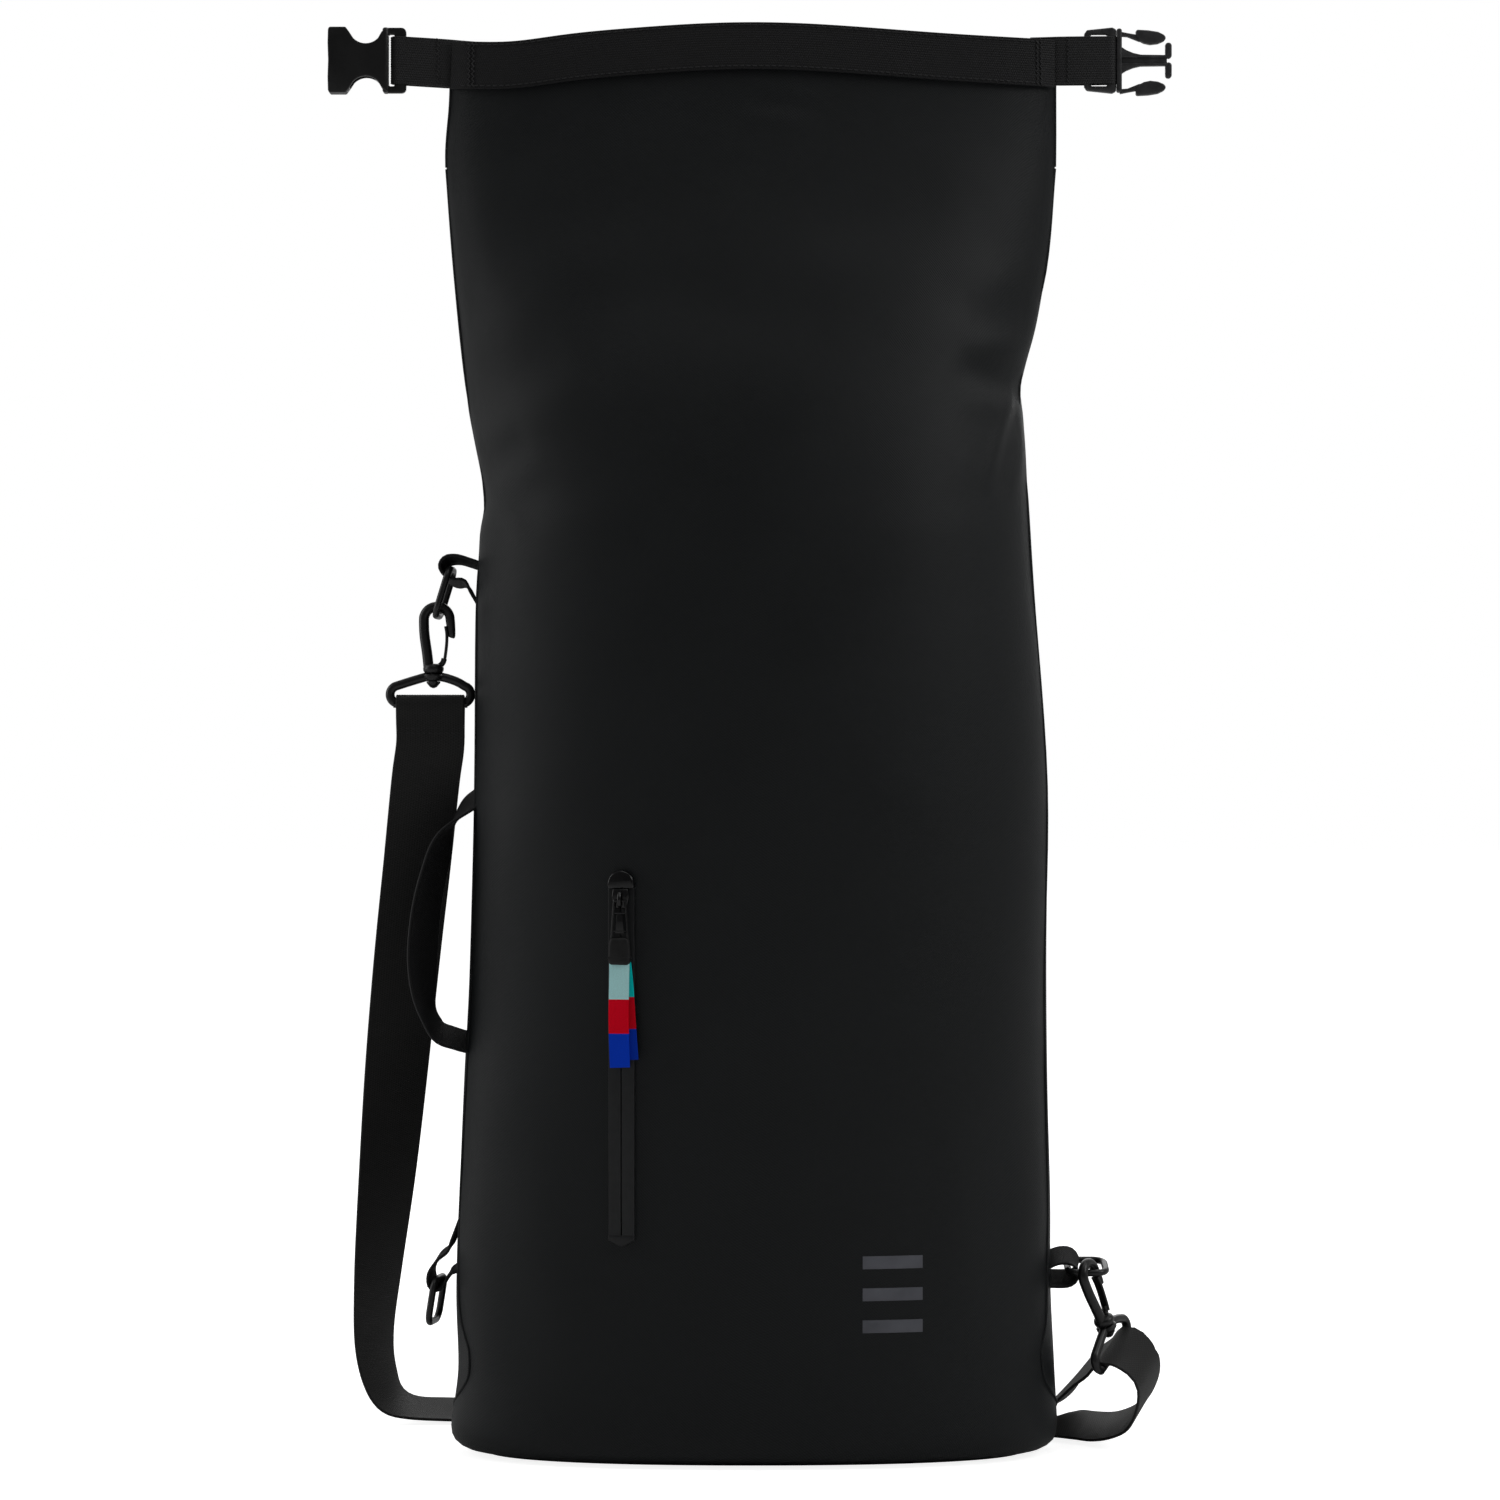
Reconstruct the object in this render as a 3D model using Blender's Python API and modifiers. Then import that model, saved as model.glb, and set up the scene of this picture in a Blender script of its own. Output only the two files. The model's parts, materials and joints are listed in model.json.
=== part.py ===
"""A roll-top rope storage bag that stands open, with its shoulder strap clipped on.

Lengths are in millimetres and are turned into metres as each mesh is made. +Z is up, the front of the bag
faces -Y, and the origin is the middle of the underside of the base.
"""

import math

import bmesh
import bpy
from mathutils import Matrix, Vector

MM = 0.001
GAP = 0.3  # between pieces that touch

# --- Driving dimensions -------------------------------------------------------------------------------------

# The bag at a few heights: half-width to the left and right, half-depth, and how square the section is.
SECTIONS = (
    (2.6, 152.0, 154.0, 66.0, 2.3),
    (14.0, 158.5, 159.5, 71.5, 2.3),
    (45.0, 155.0, 158.0, 72.5, 2.3),
    (130.0, 154.5, 156.5, 74.5, 2.25),
    (250.0, 149.5, 154.5, 78.0, 2.2),
    (340.0, 147.0, 154.0, 80.0, 2.2),
    (420.0, 145.3, 150.5, 80.5, 2.15),
    (500.0, 142.5, 145.5, 78.0, 2.1),
    (558.0, 150.0, 143.0, 70.0, 2.05),
    (600.0, 155.5, 151.5, 54.0, 2.0),
    (652.0, 160.0, 158.5, 32.0, 1.9),
    (698.0, 161.0, 159.5, 23.0, 1.85),
    (741.0, 159.0, 159.0, 18.0, 1.85),
)
FABRIC = 1.5  # wall of the coated fabric
SEAM = 0.8  # each half of the tube stops this far from the side seam
BASE_THICK = 2.3
LOWER_FOLD = 652.0  # heights of the two lines that the top rolls about
UPPER_FOLD = 698.0
MOUTH = 741.0
AROUND = 28  # faces round half of the bag

BAND_LOW = 716.0  # the mouth's webbing band
BAND_THICK = 1.4
STIFFENER_THICK = 1.0

WEBBING = 1.8  # thickness of all webbing
TAB_WIDTH = 25.0
STRAP_WIDTH = 36.0
SIDE_TAB_WIDTH = 19.0

WIRE = 1.75  # radius of the rings' wire
RING_REACH = 11.75  # from a ring's middle to the middle of its side
RING_CORNER = 3.4

ZIP_X = -67.0  # the front zip: its place and its height range
ZIP_LOW, ZIP_HIGH = 117.0, 307.0
ZIP_WIDTH = 13.6

BUCKLE_MID = 731.2  # height of the buckles' middle
BUCKLE_HALF = 17.4
BUCKLE_BAR = 1.5  # half the thickness of the buckles' bars


# --- Scene and materials ------------------------------------------------------------------------------------


def clear_scene():
    for obj in list(bpy.data.objects):
        bpy.data.objects.remove(obj, do_unlink=True)


def new_collection(name):
    collection = bpy.data.collections.new(name)
    bpy.context.scene.collection.children.link(collection)
    return collection


def finish(name, colour, roughness, metallic=0.0):
    material = bpy.data.materials.new(name)
    material.use_nodes = True
    shader = material.node_tree.nodes["Principled BSDF"]
    shader.inputs["Base Color"].default_value = (*colour, 1.0)
    shader.inputs["Roughness"].default_value = roughness
    shader.inputs["Metallic"].default_value = metallic
    return material


clear_scene()
BAG = new_collection("rope_storage_bag")
CUTTERS = new_collection("cutters")

COLOURS = {
    "fabric": ((0.028, 0.030, 0.034), 0.5),
    "webbing": ((0.016, 0.016, 0.017), 0.75),
    "plastic": ((0.013, 0.013, 0.014), 0.35),
    "zip": ((0.035, 0.036, 0.040), 0.4),
    "ribbon": ((0.15, 0.45, 0.50), 0.6),
}


def add(name, mesh, kind):
    """Puts a mesh in the bag as one named piece, with a material of its own."""
    obj = bpy.data.objects.new(name, mesh)
    BAG.objects.link(obj)
    colour, roughness = COLOURS[kind]
    mesh.materials.clear()
    mesh.materials.append(finish(name + "_finish", colour, roughness))
    mesh.shade_smooth()
    mesh.set_sharp_from_angle(angle=math.radians(35))
    return obj


def add_cutter(name, mesh):
    obj = bpy.data.objects.new(name, mesh)
    CUTTERS.objects.link(obj)
    obj.hide_render = True
    obj.display_type = "WIRE"
    return obj


# --- Shapes -------------------------------------------------------------------------------------------------


def mesh_from(bm, name):
    bmesh.ops.recalc_face_normals(bm, faces=bm.faces)
    mesh = bpy.data.meshes.new(name)
    bm.to_mesh(mesh)
    bm.free()
    return mesh


def evaluated_mesh(obj):
    """The finished mesh of an object, with its doubles merged; the object itself is removed."""
    graph = bpy.context.evaluated_depsgraph_get()
    mesh = bpy.data.meshes.new_from_object(obj.evaluated_get(graph))
    mesh.transform(obj.matrix_world)
    bm = bmesh.new()
    bm.from_mesh(mesh)
    bmesh.ops.remove_doubles(bm, verts=bm.verts, dist=0.01 * MM)
    bmesh.ops.recalc_face_normals(bm, faces=bm.faces)
    bm.to_mesh(mesh)
    bm.free()
    bpy.data.objects.remove(obj)
    return mesh


def box(name, low, high, place=Matrix.Identity(4)):
    """A box between two corners, in the frame that place gives."""
    low, high = Vector(low), Vector(high)
    bm = bmesh.new()
    size = Matrix.Diagonal((*(high - low), 1.0))
    at = Matrix.Translation((low + high) / 2)
    bmesh.ops.create_cube(bm, size=1.0, matrix=Matrix.Scale(MM, 4) @ place @ at @ size)
    return mesh_from(bm, name)


def round_bar(name, start, end, radius, tip=None, place=Matrix.Identity(4), segments=16):
    """A cylinder, or a cone where tip is its radius at the end."""
    start, end = place @ Vector(start), place @ Vector(end)
    along = end - start
    turn = along.to_track_quat("Z", "Y").to_matrix().to_4x4()
    bm = bmesh.new()
    bmesh.ops.create_cone(
        bm,
        cap_ends=True,
        segments=segments,
        radius1=radius * MM,
        radius2=(radius if tip is None else tip) * MM,
        depth=along.length * MM,
        matrix=Matrix.Translation((start + end) / 2 * MM) @ turn,
    )
    return mesh_from(bm, name)


def smooth_path(points, steps):
    """Points on a smooth curve through the given ones, with this many steps in each stretch."""
    points = [Vector(p) for p in points]
    ends = [points[0] * 2 - points[1], *points, points[-1] * 2 - points[-2]]
    found = []
    for a, b, c, d in zip(ends, ends[1:], ends[2:], ends[3:]):
        for step in range(steps):
            t = step / steps
            pull = (c - a) * t + (a * 2 - b * 5 + c * 4 - d) * t**2 + (b * 3 - a - c * 3 + d) * t**3
            found.append(b + pull / 2)
    return [*found, points[-1]]


def wire(name, points, radii, closed=False, place=Matrix.Identity(4), sides=2):
    """A round wire along points; radii is one number, or one for each point."""
    curve = bpy.data.curves.new(name, "CURVE")
    curve.dimensions = "3D"
    curve.bevel_depth = MM
    curve.bevel_resolution = sides
    curve.use_fill_caps = not closed
    spline = curve.splines.new("POLY")
    spline.points.add(len(points) - 1)
    spline.use_cyclic_u = closed
    for index, point in enumerate(points):
        spline.points[index].co = (*(place @ Vector(point) * MM), 1.0)
        spline.points[index].radius = radii[index] if hasattr(radii, "__len__") else radii
    guide = bpy.data.objects.new(name, curve)
    CUTTERS.objects.link(guide)
    return evaluated_mesh(guide)


def plate(name, outlines, half_thick, place=Matrix.Identity(4)):
    """A flat piece from closed outlines in the XY plane, holes among them, thickened both ways along Z."""
    curve = bpy.data.curves.new(name, "CURVE")
    curve.dimensions = "2D"
    curve.fill_mode = "BOTH"
    curve.extrude = half_thick * MM
    for outline in outlines:
        spline = curve.splines.new("POLY")
        spline.points.add(len(outline) - 1)
        spline.use_cyclic_u = True
        for index, point in enumerate(outline):
            spline.points[index].co = (point[0] * MM, point[1] * MM, 0.0, 1.0)
    guide = bpy.data.objects.new(name, curve)
    CUTTERS.objects.link(guide)
    mesh = evaluated_mesh(guide)
    shift = Matrix.Translation(place.translation * MM) @ place.to_3x3().to_4x4()
    mesh.transform(shift)
    return mesh


def arc(centre, radius, start, end, steps):
    """Points on an arc in a plane, with angles in degrees."""
    angles = [math.radians(start + (end - start) * k / steps) for k in range(steps + 1)]
    return [(centre[0] + radius * math.cos(a), centre[1] + radius * math.sin(a)) for a in angles]


def rounded(x0, y0, x1, y1, radius, steps=4):
    """The outline of a rectangle with round corners."""
    return [
        *arc((x1 - radius, y1 - radius), radius, 0, 90, steps),
        *arc((x0 + radius, y1 - radius), radius, 90, 180, steps),
        *arc((x0 + radius, y0 + radius), radius, 180, 270, steps),
        *arc((x1 - radius, y0 + radius), radius, 270, 360, steps),
    ]


def open_surface(name, rows, closed=False):
    """A grid of faces over rows of points, which a Solidify modifier makes a shell."""
    bm = bmesh.new()
    grid = [[bm.verts.new(Vector(p) * MM) for p in row] for row in rows]
    for low, high in zip(grid, grid[1:]):
        count = len(low) if closed else len(low) - 1
        for k in range(count):
            after = (k + 1) % len(low)
            bm.faces.new((low[k], low[after], high[after], high[k]))
    mesh = bpy.data.meshes.new(name)
    bm.to_mesh(mesh)
    bm.free()
    return mesh


def solidify(obj, thickness, offset):
    modifier = obj.modifiers.new("wall", "SOLIDIFY")
    modifier.thickness = thickness * MM
    modifier.offset = offset
    return obj


def boolean(obj, other, operation):
    modifier = obj.modifiers.new(other.name, "BOOLEAN")
    modifier.operation = operation
    modifier.object = other
    return obj


def joined(name, meshes, kind):
    """One piece from several meshes that run into each other."""
    piece = add(name, meshes[0], kind)
    for index, mesh in enumerate(meshes[1:]):
        boolean(piece, add_cutter(f"{name}_with_{index}", mesh), "UNION")
    return piece


def strip(name, stations, width, steps=3):
    """The middle surface of a run of webbing: each station is a point and the way that its width lies."""
    centres = smooth_path([s[0] for s in stations], steps)
    ways = smooth_path([Vector(s[1]).normalized() for s in stations], steps)
    rows = []
    for index, (centre, way) in enumerate(zip(centres, ways)):
        before, after = centres[max(index - 1, 0)], centres[min(index + 1, len(centres) - 1)]
        along = (after - before).normalized()
        way = (way - along * way.dot(along)).normalized() * width / 2
        rows.append((centre - way, centre + way))
    return open_surface(name, rows)


def webbing(name, stations, width, steps=3):
    return solidify(add(name, strip(name, stations, width, steps), "webbing"), WEBBING, 0.0)


# --- The shell ----------------------------------------------------------------------------------------------


def at_height(z, column):
    """A column of the sections, read between its rows with a smooth curve."""
    rows = SECTIONS
    if z <= rows[0][0]:
        return rows[0][column]
    k = next((i for i in range(len(rows) - 1) if z <= rows[i + 1][0]), len(rows) - 2)

    def slope(i):
        low, high = max(i - 1, 0), min(i + 1, len(rows) - 1)
        return (rows[high][column] - rows[low][column]) / (rows[high][0] - rows[low][0])

    span = rows[k + 1][0] - rows[k][0]
    t = min((z - rows[k][0]) / span, 1.0)
    start, end = rows[k][column], rows[k + 1][column]
    return (
        (2 * t**3 - 3 * t**2 + 1) * start
        + (t**3 - 2 * t**2 + t) * span * slope(k)
        + (3 * t**2 - 2 * t**3) * end
        + (t**3 - t**2) * span * slope(k + 1)
    )


def skin_point(angle, z, out=0.0):
    """A point on the outside of the bag; angle 0 is the right side seam and 270 degrees the front."""
    square = 2.0 / at_height(z, 4)
    c, s = math.cos(angle), math.sin(angle)
    reach, depth = at_height(z, 2 if c > 0 else 1), at_height(z, 3)
    x = math.copysign(reach * abs(c) ** square, c)
    y = math.copysign(depth * abs(s) ** square, s)
    here = Vector((x, y, z))
    if not out:
        return here
    step = math.radians(1.0)
    along = skin_point(angle + step, z) - skin_point(angle - step, z)
    return here + Vector((along.y, -along.x, 0.0)).normalized() * out


def front_of(x, z):
    """How far forward the front of the bag is at a place on it, as a y below 0."""
    square = at_height(z, 4)
    share = abs(x) / at_height(z, 2 if x > 0 else 1)
    return -at_height(z, 3) * (1 - share**square) ** (1 / square)


def heights(low, high, most):
    """Heights between two, no further apart than most."""
    count = max(1, math.ceil((high - low) / most))
    return [low + (high - low) * k / count for k in range(count + 1)]


def half_surface(name, front, levels, out=0.0, reach=180.0):
    """Half of the bag's skin, from side seam to side seam, or only the middle of it."""
    first = (270 if front else 90) - reach / 2
    rows = []
    for z in levels:
        row = [skin_point(math.radians(first + reach * k / AROUND), z, out) for k in range(AROUND + 1)]
        for point in row:
            point.y += -SEAM if front else SEAM
        rows.append(row)
    return open_surface(name, rows)


def tube_surface(name, levels):
    turns = [2 * math.pi * k / (2 * AROUND) for k in range(2 * AROUND)]
    return open_surface(name, [[skin_point(a, z) for a in turns] for z in levels], closed=True)


def make_shell():
    """The base, the two halves of the body, and the collar that rolls down."""
    foot = [skin_point(2 * math.pi * k / 64, SECTIONS[0][0]) for k in range(64)]
    place = Matrix.Translation((0, 0, BASE_THICK / 2))
    add("base_panel", plate("base_panel", [[(p.x, p.y) for p in foot]], BASE_THICK / 2, place), "fabric")

    low = [SECTIONS[0][0], 6.0, 14.0, 30.0]
    levels = [*low, *heights(60.0, 480.0, 60.0), *heights(510.0, LOWER_FOLD - GAP, 26.0)]
    for name, front in (("front_panel", True), ("back_panel", False)):
        solidify(add(name, half_surface(name, front, levels), "fabric"), FABRIC, -1.0)

    for name, low, high in (
        ("collar_lower", LOWER_FOLD + GAP, UPPER_FOLD - GAP),
        ("collar_upper", UPPER_FOLD + GAP, MOUTH),
    ):
        solidify(add(name, tube_surface(name, heights(low, high, 16.0)), "fabric"), FABRIC, -1.0)


def make_mouth():
    """The flat stiffeners in the mouth's hem, and the webbing band over them."""
    for side, front in (("front", True), ("back", False)):
        name = f"mouth_stiffener_{side}"
        surface = half_surface(name, front, (BAND_LOW + 2, MOUTH - 2), out=GAP, reach=130.0)
        solidify(add(name, surface, "plastic"), STIFFENER_THICK, 1.0)
        name = f"mouth_band_{side}"
        out = STIFFENER_THICK + 2 * GAP
        surface = half_surface(name, front, (BAND_LOW, MOUTH), out=out, reach=157.0)
        solidify(add(name, surface, "webbing"), BAND_THICK, 1.0)


# --- The zip pocket -----------------------------------------------------------------------------------------


def zip_frame():
    """The place of the zip on the front: x along the skin, y into the bag, z up the skin, origin mid-zip."""
    z = (ZIP_LOW + ZIP_HIGH) / 2
    here = Vector((ZIP_X, front_of(ZIP_X, z), z))
    low = Vector((ZIP_X, front_of(ZIP_X, ZIP_LOW), ZIP_LOW))
    high = Vector((ZIP_X, front_of(ZIP_X, ZIP_HIGH), ZIP_HIGH))
    beside = Vector((ZIP_X + 6, front_of(ZIP_X + 6, z), z)) - Vector((ZIP_X - 6, front_of(ZIP_X - 6, z), z))
    up = (high - low).normalized()
    across = (beside - up * beside.dot(up)).normalized()
    turn = Matrix((across, up.cross(across), up)).transposed().to_4x4()
    return Matrix.Translation(here) @ turn


def make_zip():
    """Tapes, coil, garage and stop on the skin, the slider with its pull and ribbon, and the pocket."""
    place = zip_frame()
    half = (ZIP_HIGH - ZIP_LOW) / 2
    face = -1.3  # the tapes' back, clear of the curved skin
    tape = -2.1  # the tapes' front

    slot = box("zip_slot", (-3.4, -6, -half + 8), (3.4, 6, half - 8), place)
    boolean(bpy.data.objects["front_panel"], add_cutter("zip_slot", slot), "DIFFERENCE")

    edge = ZIP_WIDTH / 2
    for side, x0, x1 in (("left", -edge, -GAP / 2), ("right", GAP / 2, edge)):
        add(f"zip_tape_{side}", box("tape", (x0, tape, -half + 3), (x1, face, half - 9), place), "zip")
    chain = box("chain", (-2.4, face + GAP, -half + 10), (2.4, face + 2.2, half - 11), place)
    add("zip_chain", chain, "plastic")

    # The garage is a low hood with a round top; the stop is a pointed pad at the foot of the zip.
    flat = place @ Matrix.Rotation(math.radians(90), 4, "X")
    hood = [(-edge, half - 8.6), (edge, half - 8.6), *arc((0, half - edge), edge, 0, 180, 10)]
    lift = Matrix.Translation((0, 0, 2.5))
    add("zip_garage", plate("garage", [hood], 1.2, flat @ lift), "plastic")
    foot = -half + 1.0
    pad = [(-edge, foot + 1.7), (-edge, foot), (0, foot - 3.5), (edge, foot), (edge, foot + 1.7)]
    add("zip_stop", plate("stop", [pad], 0.5, flat @ Matrix.Translation((0, 0, 1.8))), "plastic")

    # The slider rides on the tapes, with a bridge that the pull hangs from.
    top, foot = half - 9.4, half - 19.4
    back = tape - GAP
    body = box("slider", (-4.6, back - 2.0, foot), (4.6, back, top), place)
    bridge = box("bridge", (-1.5, back - 4.6, foot + 1.4), (1.5, back - 1.5, top - 1.6), place)
    slider = joined("zip_slider", [body, bridge], "plastic")
    eye = box("bridge_eye", (-3, back - 3.6, foot + 2.6), (3, back - 2.1, foot + 5.2), place)
    boolean(slider, add_cutter("bridge_eye", eye), "DIFFERENCE")

    # The pull is a wire loop, wider at the bottom, that runs through the bridge and through the ribbon's cap.
    y = back - 2.85
    hang = foot + 3.9
    low = hang - 20.0
    corner = low + 1.2
    loop = [(-2.9, hang), (2.9, hang), (4.0, corner), (3.0, low), (-3.0, low), (-4.0, corner)]
    loop = [(x, y, z) for x, z in loop]
    add("zip_pull", wire("pull", loop, 0.6, closed=True, place=place), "plastic")

    cap_low = low - 12.6
    cap = box("cap", (-5.5, y - 2.3, cap_low), (5.5, y + 1.9, low + 1.4), place)
    cap = add("ribbon_cap", cap, "plastic")
    notch = box("cap_notch", (-4.9, y - 1.85, low - 1.1), (4.9, y + 1.0, low + 3.0), place)
    boolean(cap, add_cutter("cap_notch", notch), "DIFFERENCE")
    tail = cap_low - GAP
    front = box("ribbon_front", (-5.25, y - 1.3, tail - 52.5), (5.25, y - 0.3, tail), place)
    add("ribbon_front", front, "ribbon")
    rear = plate(
        "ribbon_back",
        [[(-4.6, tail), (-2.0, tail - 48.5), (8.4, tail - 47.2), (5.6, tail)]],
        0.5,
        flat @ Matrix.Translation((0, 0, -(y + 0.8))),
    )
    add("ribbon_back", rear, "ribbon")

    # The pocket: a flat bag behind the slot, with a neck up to the zip and room inside.
    pocket = joined(
        "pocket_bag",
        [
            box("pocket", (-36, 7.0, -half + 2), (36, 21.0, half - 2), place),
            box("neck", (-5.6, 2.2, -half + 6), (5.6, 8.0, half - 6), place),
        ],
        "fabric",
    )
    room = box("pocket_room", (-34.8, 8.2, -half + 3.2), (34.8, 19.8, half - 3.2), place)
    boolean(pocket, add_cutter("pocket_room", room), "DIFFERENCE")
    throat = box("pocket_throat", (-4.4, 0, -half + 7.2), (4.4, 9.0, half - 7.2), place)
    boolean(pocket, add_cutter("pocket_throat", throat), "DIFFERENCE")


# --- The side-release buckle --------------------------------------------------------------------------------


def flat_loop(bar_x, root_x):
    """A webbing tab folded round a buckle's end bar, from above: its outline and the slot for the bar."""
    away = math.copysign(1.0, bar_x - root_x)
    inner = 2.5
    outer = inner + WEBBING
    turn = 90 if away > 0 else 270
    outside = arc((bar_x, 0), outer, turn, turn - 180, 8)
    hole = arc((bar_x, 0), inner, turn, turn - 180, 8)
    neck = bar_x - away * 7.0
    if away < 0:
        outside, hole = outside[::-1], hole[::-1]
    return (
        [*outside, (neck, -WEBBING), (root_x, -WEBBING), (root_x, WEBBING), (neck, WEBBING)],
        [*hole, (neck, -0.2), (neck, 0.2)],
    )


def make_buckle():
    """The socket on the left tab, and the plug with its two sprung arms on the right tab."""
    mid = BUCKLE_MID
    across = Matrix.Translation((0, 0, mid))
    for name, bar_x, root_x in (("buckle_tab_left", -183.7, -162.9), ("buckle_tab_right", 175.7, 162.0)):
        add(name, plate(name, flat_loop(bar_x, root_x), 13.0, across), "webbing")

    # Both halves are drawn face on: x stays x, and y is the height above the buckle's middle.
    upright = Matrix.Translation((0, 0, mid)) @ Matrix.Rotation(math.radians(90), 4, "X")
    half = BUCKLE_HALF
    body = [
        (-191.6, -half), (-191.6, half), (-193.0, half), (-195.5, half - 3.5),
        (-198.0, 9.6), (-203.0, 8.6), (-208.5, 9.6), (-211.0, half - 3.0), (-213.5, half),
        (-221.5, half), (-223.7, half - 2.5), (-223.7, -half + 2.5), (-221.5, -half),
        (-213.5, -half), (-211.0, -half + 3.0), (-208.5, -9.6), (-203.0, -8.6), (-198.0, -9.6),
        (-195.5, -half + 3.5), (-193.0, -half),
    ]
    frame = rounded(-193.0, -half, -182.1, half, 1.0, 2)
    window = rounded(-191.6, -14.0, -185.3, 14.0, 1.0, 2)
    socket = joined(
        "buckle_socket",
        [
            plate("socket_body", [body], 5.0, upright),
            plate("socket_frame", [frame, window], BUCKLE_BAR, upright),
        ],
        "plastic",
    )
    hollow = box("socket_hollow", (-226, -3.1, mid - 15.0), (-196.5, 3.1, mid + 15.0))
    boolean(socket, add_cutter("socket_hollow", hollow), "DIFFERENCE")

    frame = [
        (174.1, -half), (190.0, -half), (192.0, -half + 1.5),
        (192.0, half - 1.5), (190.0, half), (174.1, half),
    ]
    slot = rounded(177.3, -14.0, 184.5, 14.0, 1.0, 2)
    tongue = [
        (191.0, -5.4), (199.0, -2.9), (217.0, -2.4), (217.0, -9.0), (220.4, -9.0),
        (220.4, 9.0), (217.0, 9.0), (217.0, 2.4), (199.0, 2.9), (191.0, 5.4),
    ]
    joined(
        "buckle_plug_frame",
        [
            plate("plug_frame", [frame, slot], BUCKLE_BAR, upright),
            box("plug_block", (184.6, -2.7, mid - half + 1.0), (191.9, 2.7, mid + half - 1.0)),
            plate("plug_tongue", [tongue], 2.0, upright),
        ],
        "plastic",
    )
    for name, sign in (("buckle_plug_arm_upper", 1), ("buckle_plug_arm_lower", -1)):
        arm = [
            (192.0 + GAP, 12.2), (192.0 + GAP, 15.8), (200.0, 15.4), (204.0, 16.0), (208.0, half),
            (214.0, 17.2), (217.0, 14.4), (216.5, 11.4), (211.0, 10.8), (203.0, 12.0),
        ]
        outline = [(x, sign * y) for x, y in arm]
        add(name, plate(name, [outline[::sign]], 2.2, upright), "plastic")


# --- Tabs, rings and handle ---------------------------------------------------------------------------------

ACROSS = (0.0, 1.0, 0.0)


def side_tab(name, path):
    """A short webbing loop on the side seam, its width along Y."""
    return webbing(name, [((x, 0.0, z), ACROSS) for x, z in path], SIDE_TAB_WIDTH)


def ring(name, near, far, side=ACROSS):
    """A wire loop with round corners between the middles of its two end bars."""
    near, far, side = Vector(near), Vector(far), Vector(side).normalized()
    along = far - near
    along, length = along.normalized(), along.length
    outline = rounded(-RING_REACH, 0.0, RING_REACH, length, RING_CORNER)
    points = [near + side * u + along * v for u, v in outline]
    return add(name, wire(name, points, WIRE, closed=True), "plastic")


UPPER_RING = ((-158.6, 0.0, 463.2), (-166.0, 0.0, 438.9))
FREE_RING = ((-164.9, 0.0, 90.8), (-168.4, 0.0, 68.0))
LOWER_RING = ((165.4, 0.0, 96.6), (185.2, 0.0, 96.6))
LOWER_RING_SIDE = (0.0, 0.98, 0.19)


def make_side_fittings():
    side_tab(
        "upper_left_tab",
        (
            (-147.4, 441.0), (-148.0, 449.0), (-151.0, 455.6), (-156.5, 456.4), (-161.4, 459.0),
            (-163.4, 464.0), (-160.6, 468.0), (-155.0, 468.6), (-149.6, 466.8), (-146.8, 463.4),
        ),
    )
    ring("upper_left_ring", *UPPER_RING)

    side_tab(
        "lower_left_tab",
        (
            (-157.4, 121.0), (-157.8, 112.0), (-159.6, 106.6), (-165.0, 101.6), (-169.0, 94.8),
            (-168.6, 88.4), (-165.0, 86.6), (-161.2, 89.6), (-159.6, 95.0), (-158.6, 101.4),
        ),
    )
    ring("lower_left_ring", *FREE_RING)

    side_tab(
        "lower_right_tab",
        (
            (159.2, 101.0), (162.0, 102.4), (166.0, 102.0), (169.4, 99.4), (170.2, 95.4),
            (168.0, 91.6), (163.6, 90.4), (159.4, 91.4),
        ),
    )
    ring("lower_right_ring", *LOWER_RING, side=LOWER_RING_SIDE)

    webbing(
        "grab_handle",
        [
            ((-151.2, -6.0, 342.5), (0.0, 1.0, 0.30)),
            ((-157.6, -8.5, 333.0), (-0.2, 1.0, 0.25)),
            ((-170.0, -11.0, 309.0), (-0.1, 1.0, 0.1)),
            ((-176.0, -12.0, 282.0), (0.1, 1.0, 0.0)),
            ((-176.4, -12.0, 256.0), (0.3, 1.0, 0.0)),
            ((-172.0, -11.0, 234.0), (0.3, 1.0, 0.1)),
            ((-163.5, -7.0, 221.0), (0.1, 1.0, 0.15)),
            ((-153.8, -4.0, 216.0), (0.0, 1.0, 0.2)),
        ],
        TAB_WIDTH,
    )


# --- The strap's snap hooks ---------------------------------------------------------------------------------

# A hook is drawn round the ring's bar that it hangs on: x from its spine to its nose, z up its long axis.
SWIVEL_X = -2.2
BAR_Z = -46.0
BAR_RADIUS = 2.3
UPPER_CLIP = Matrix.Translation(UPPER_RING[1])


def lower_clip():
    """The lower hook hangs on the near side of its ring, turned and leaning back."""
    near, far = Vector(LOWER_RING[0]), Vector(LOWER_RING[1])
    side = Vector(LOWER_RING_SIDE).normalized()
    eye = near + (far - near) * 0.53 - side * RING_REACH
    up = Vector((-0.34, -0.30, 0.89)).normalized()
    across = Vector((0.43, 0.79, 0.43))
    across = (across - up * across.dot(up)).normalized()
    turn = Matrix((across, up.cross(across), up)).transposed().to_4x4()
    return Matrix.Translation(eye + up * 0.25) @ turn


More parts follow.
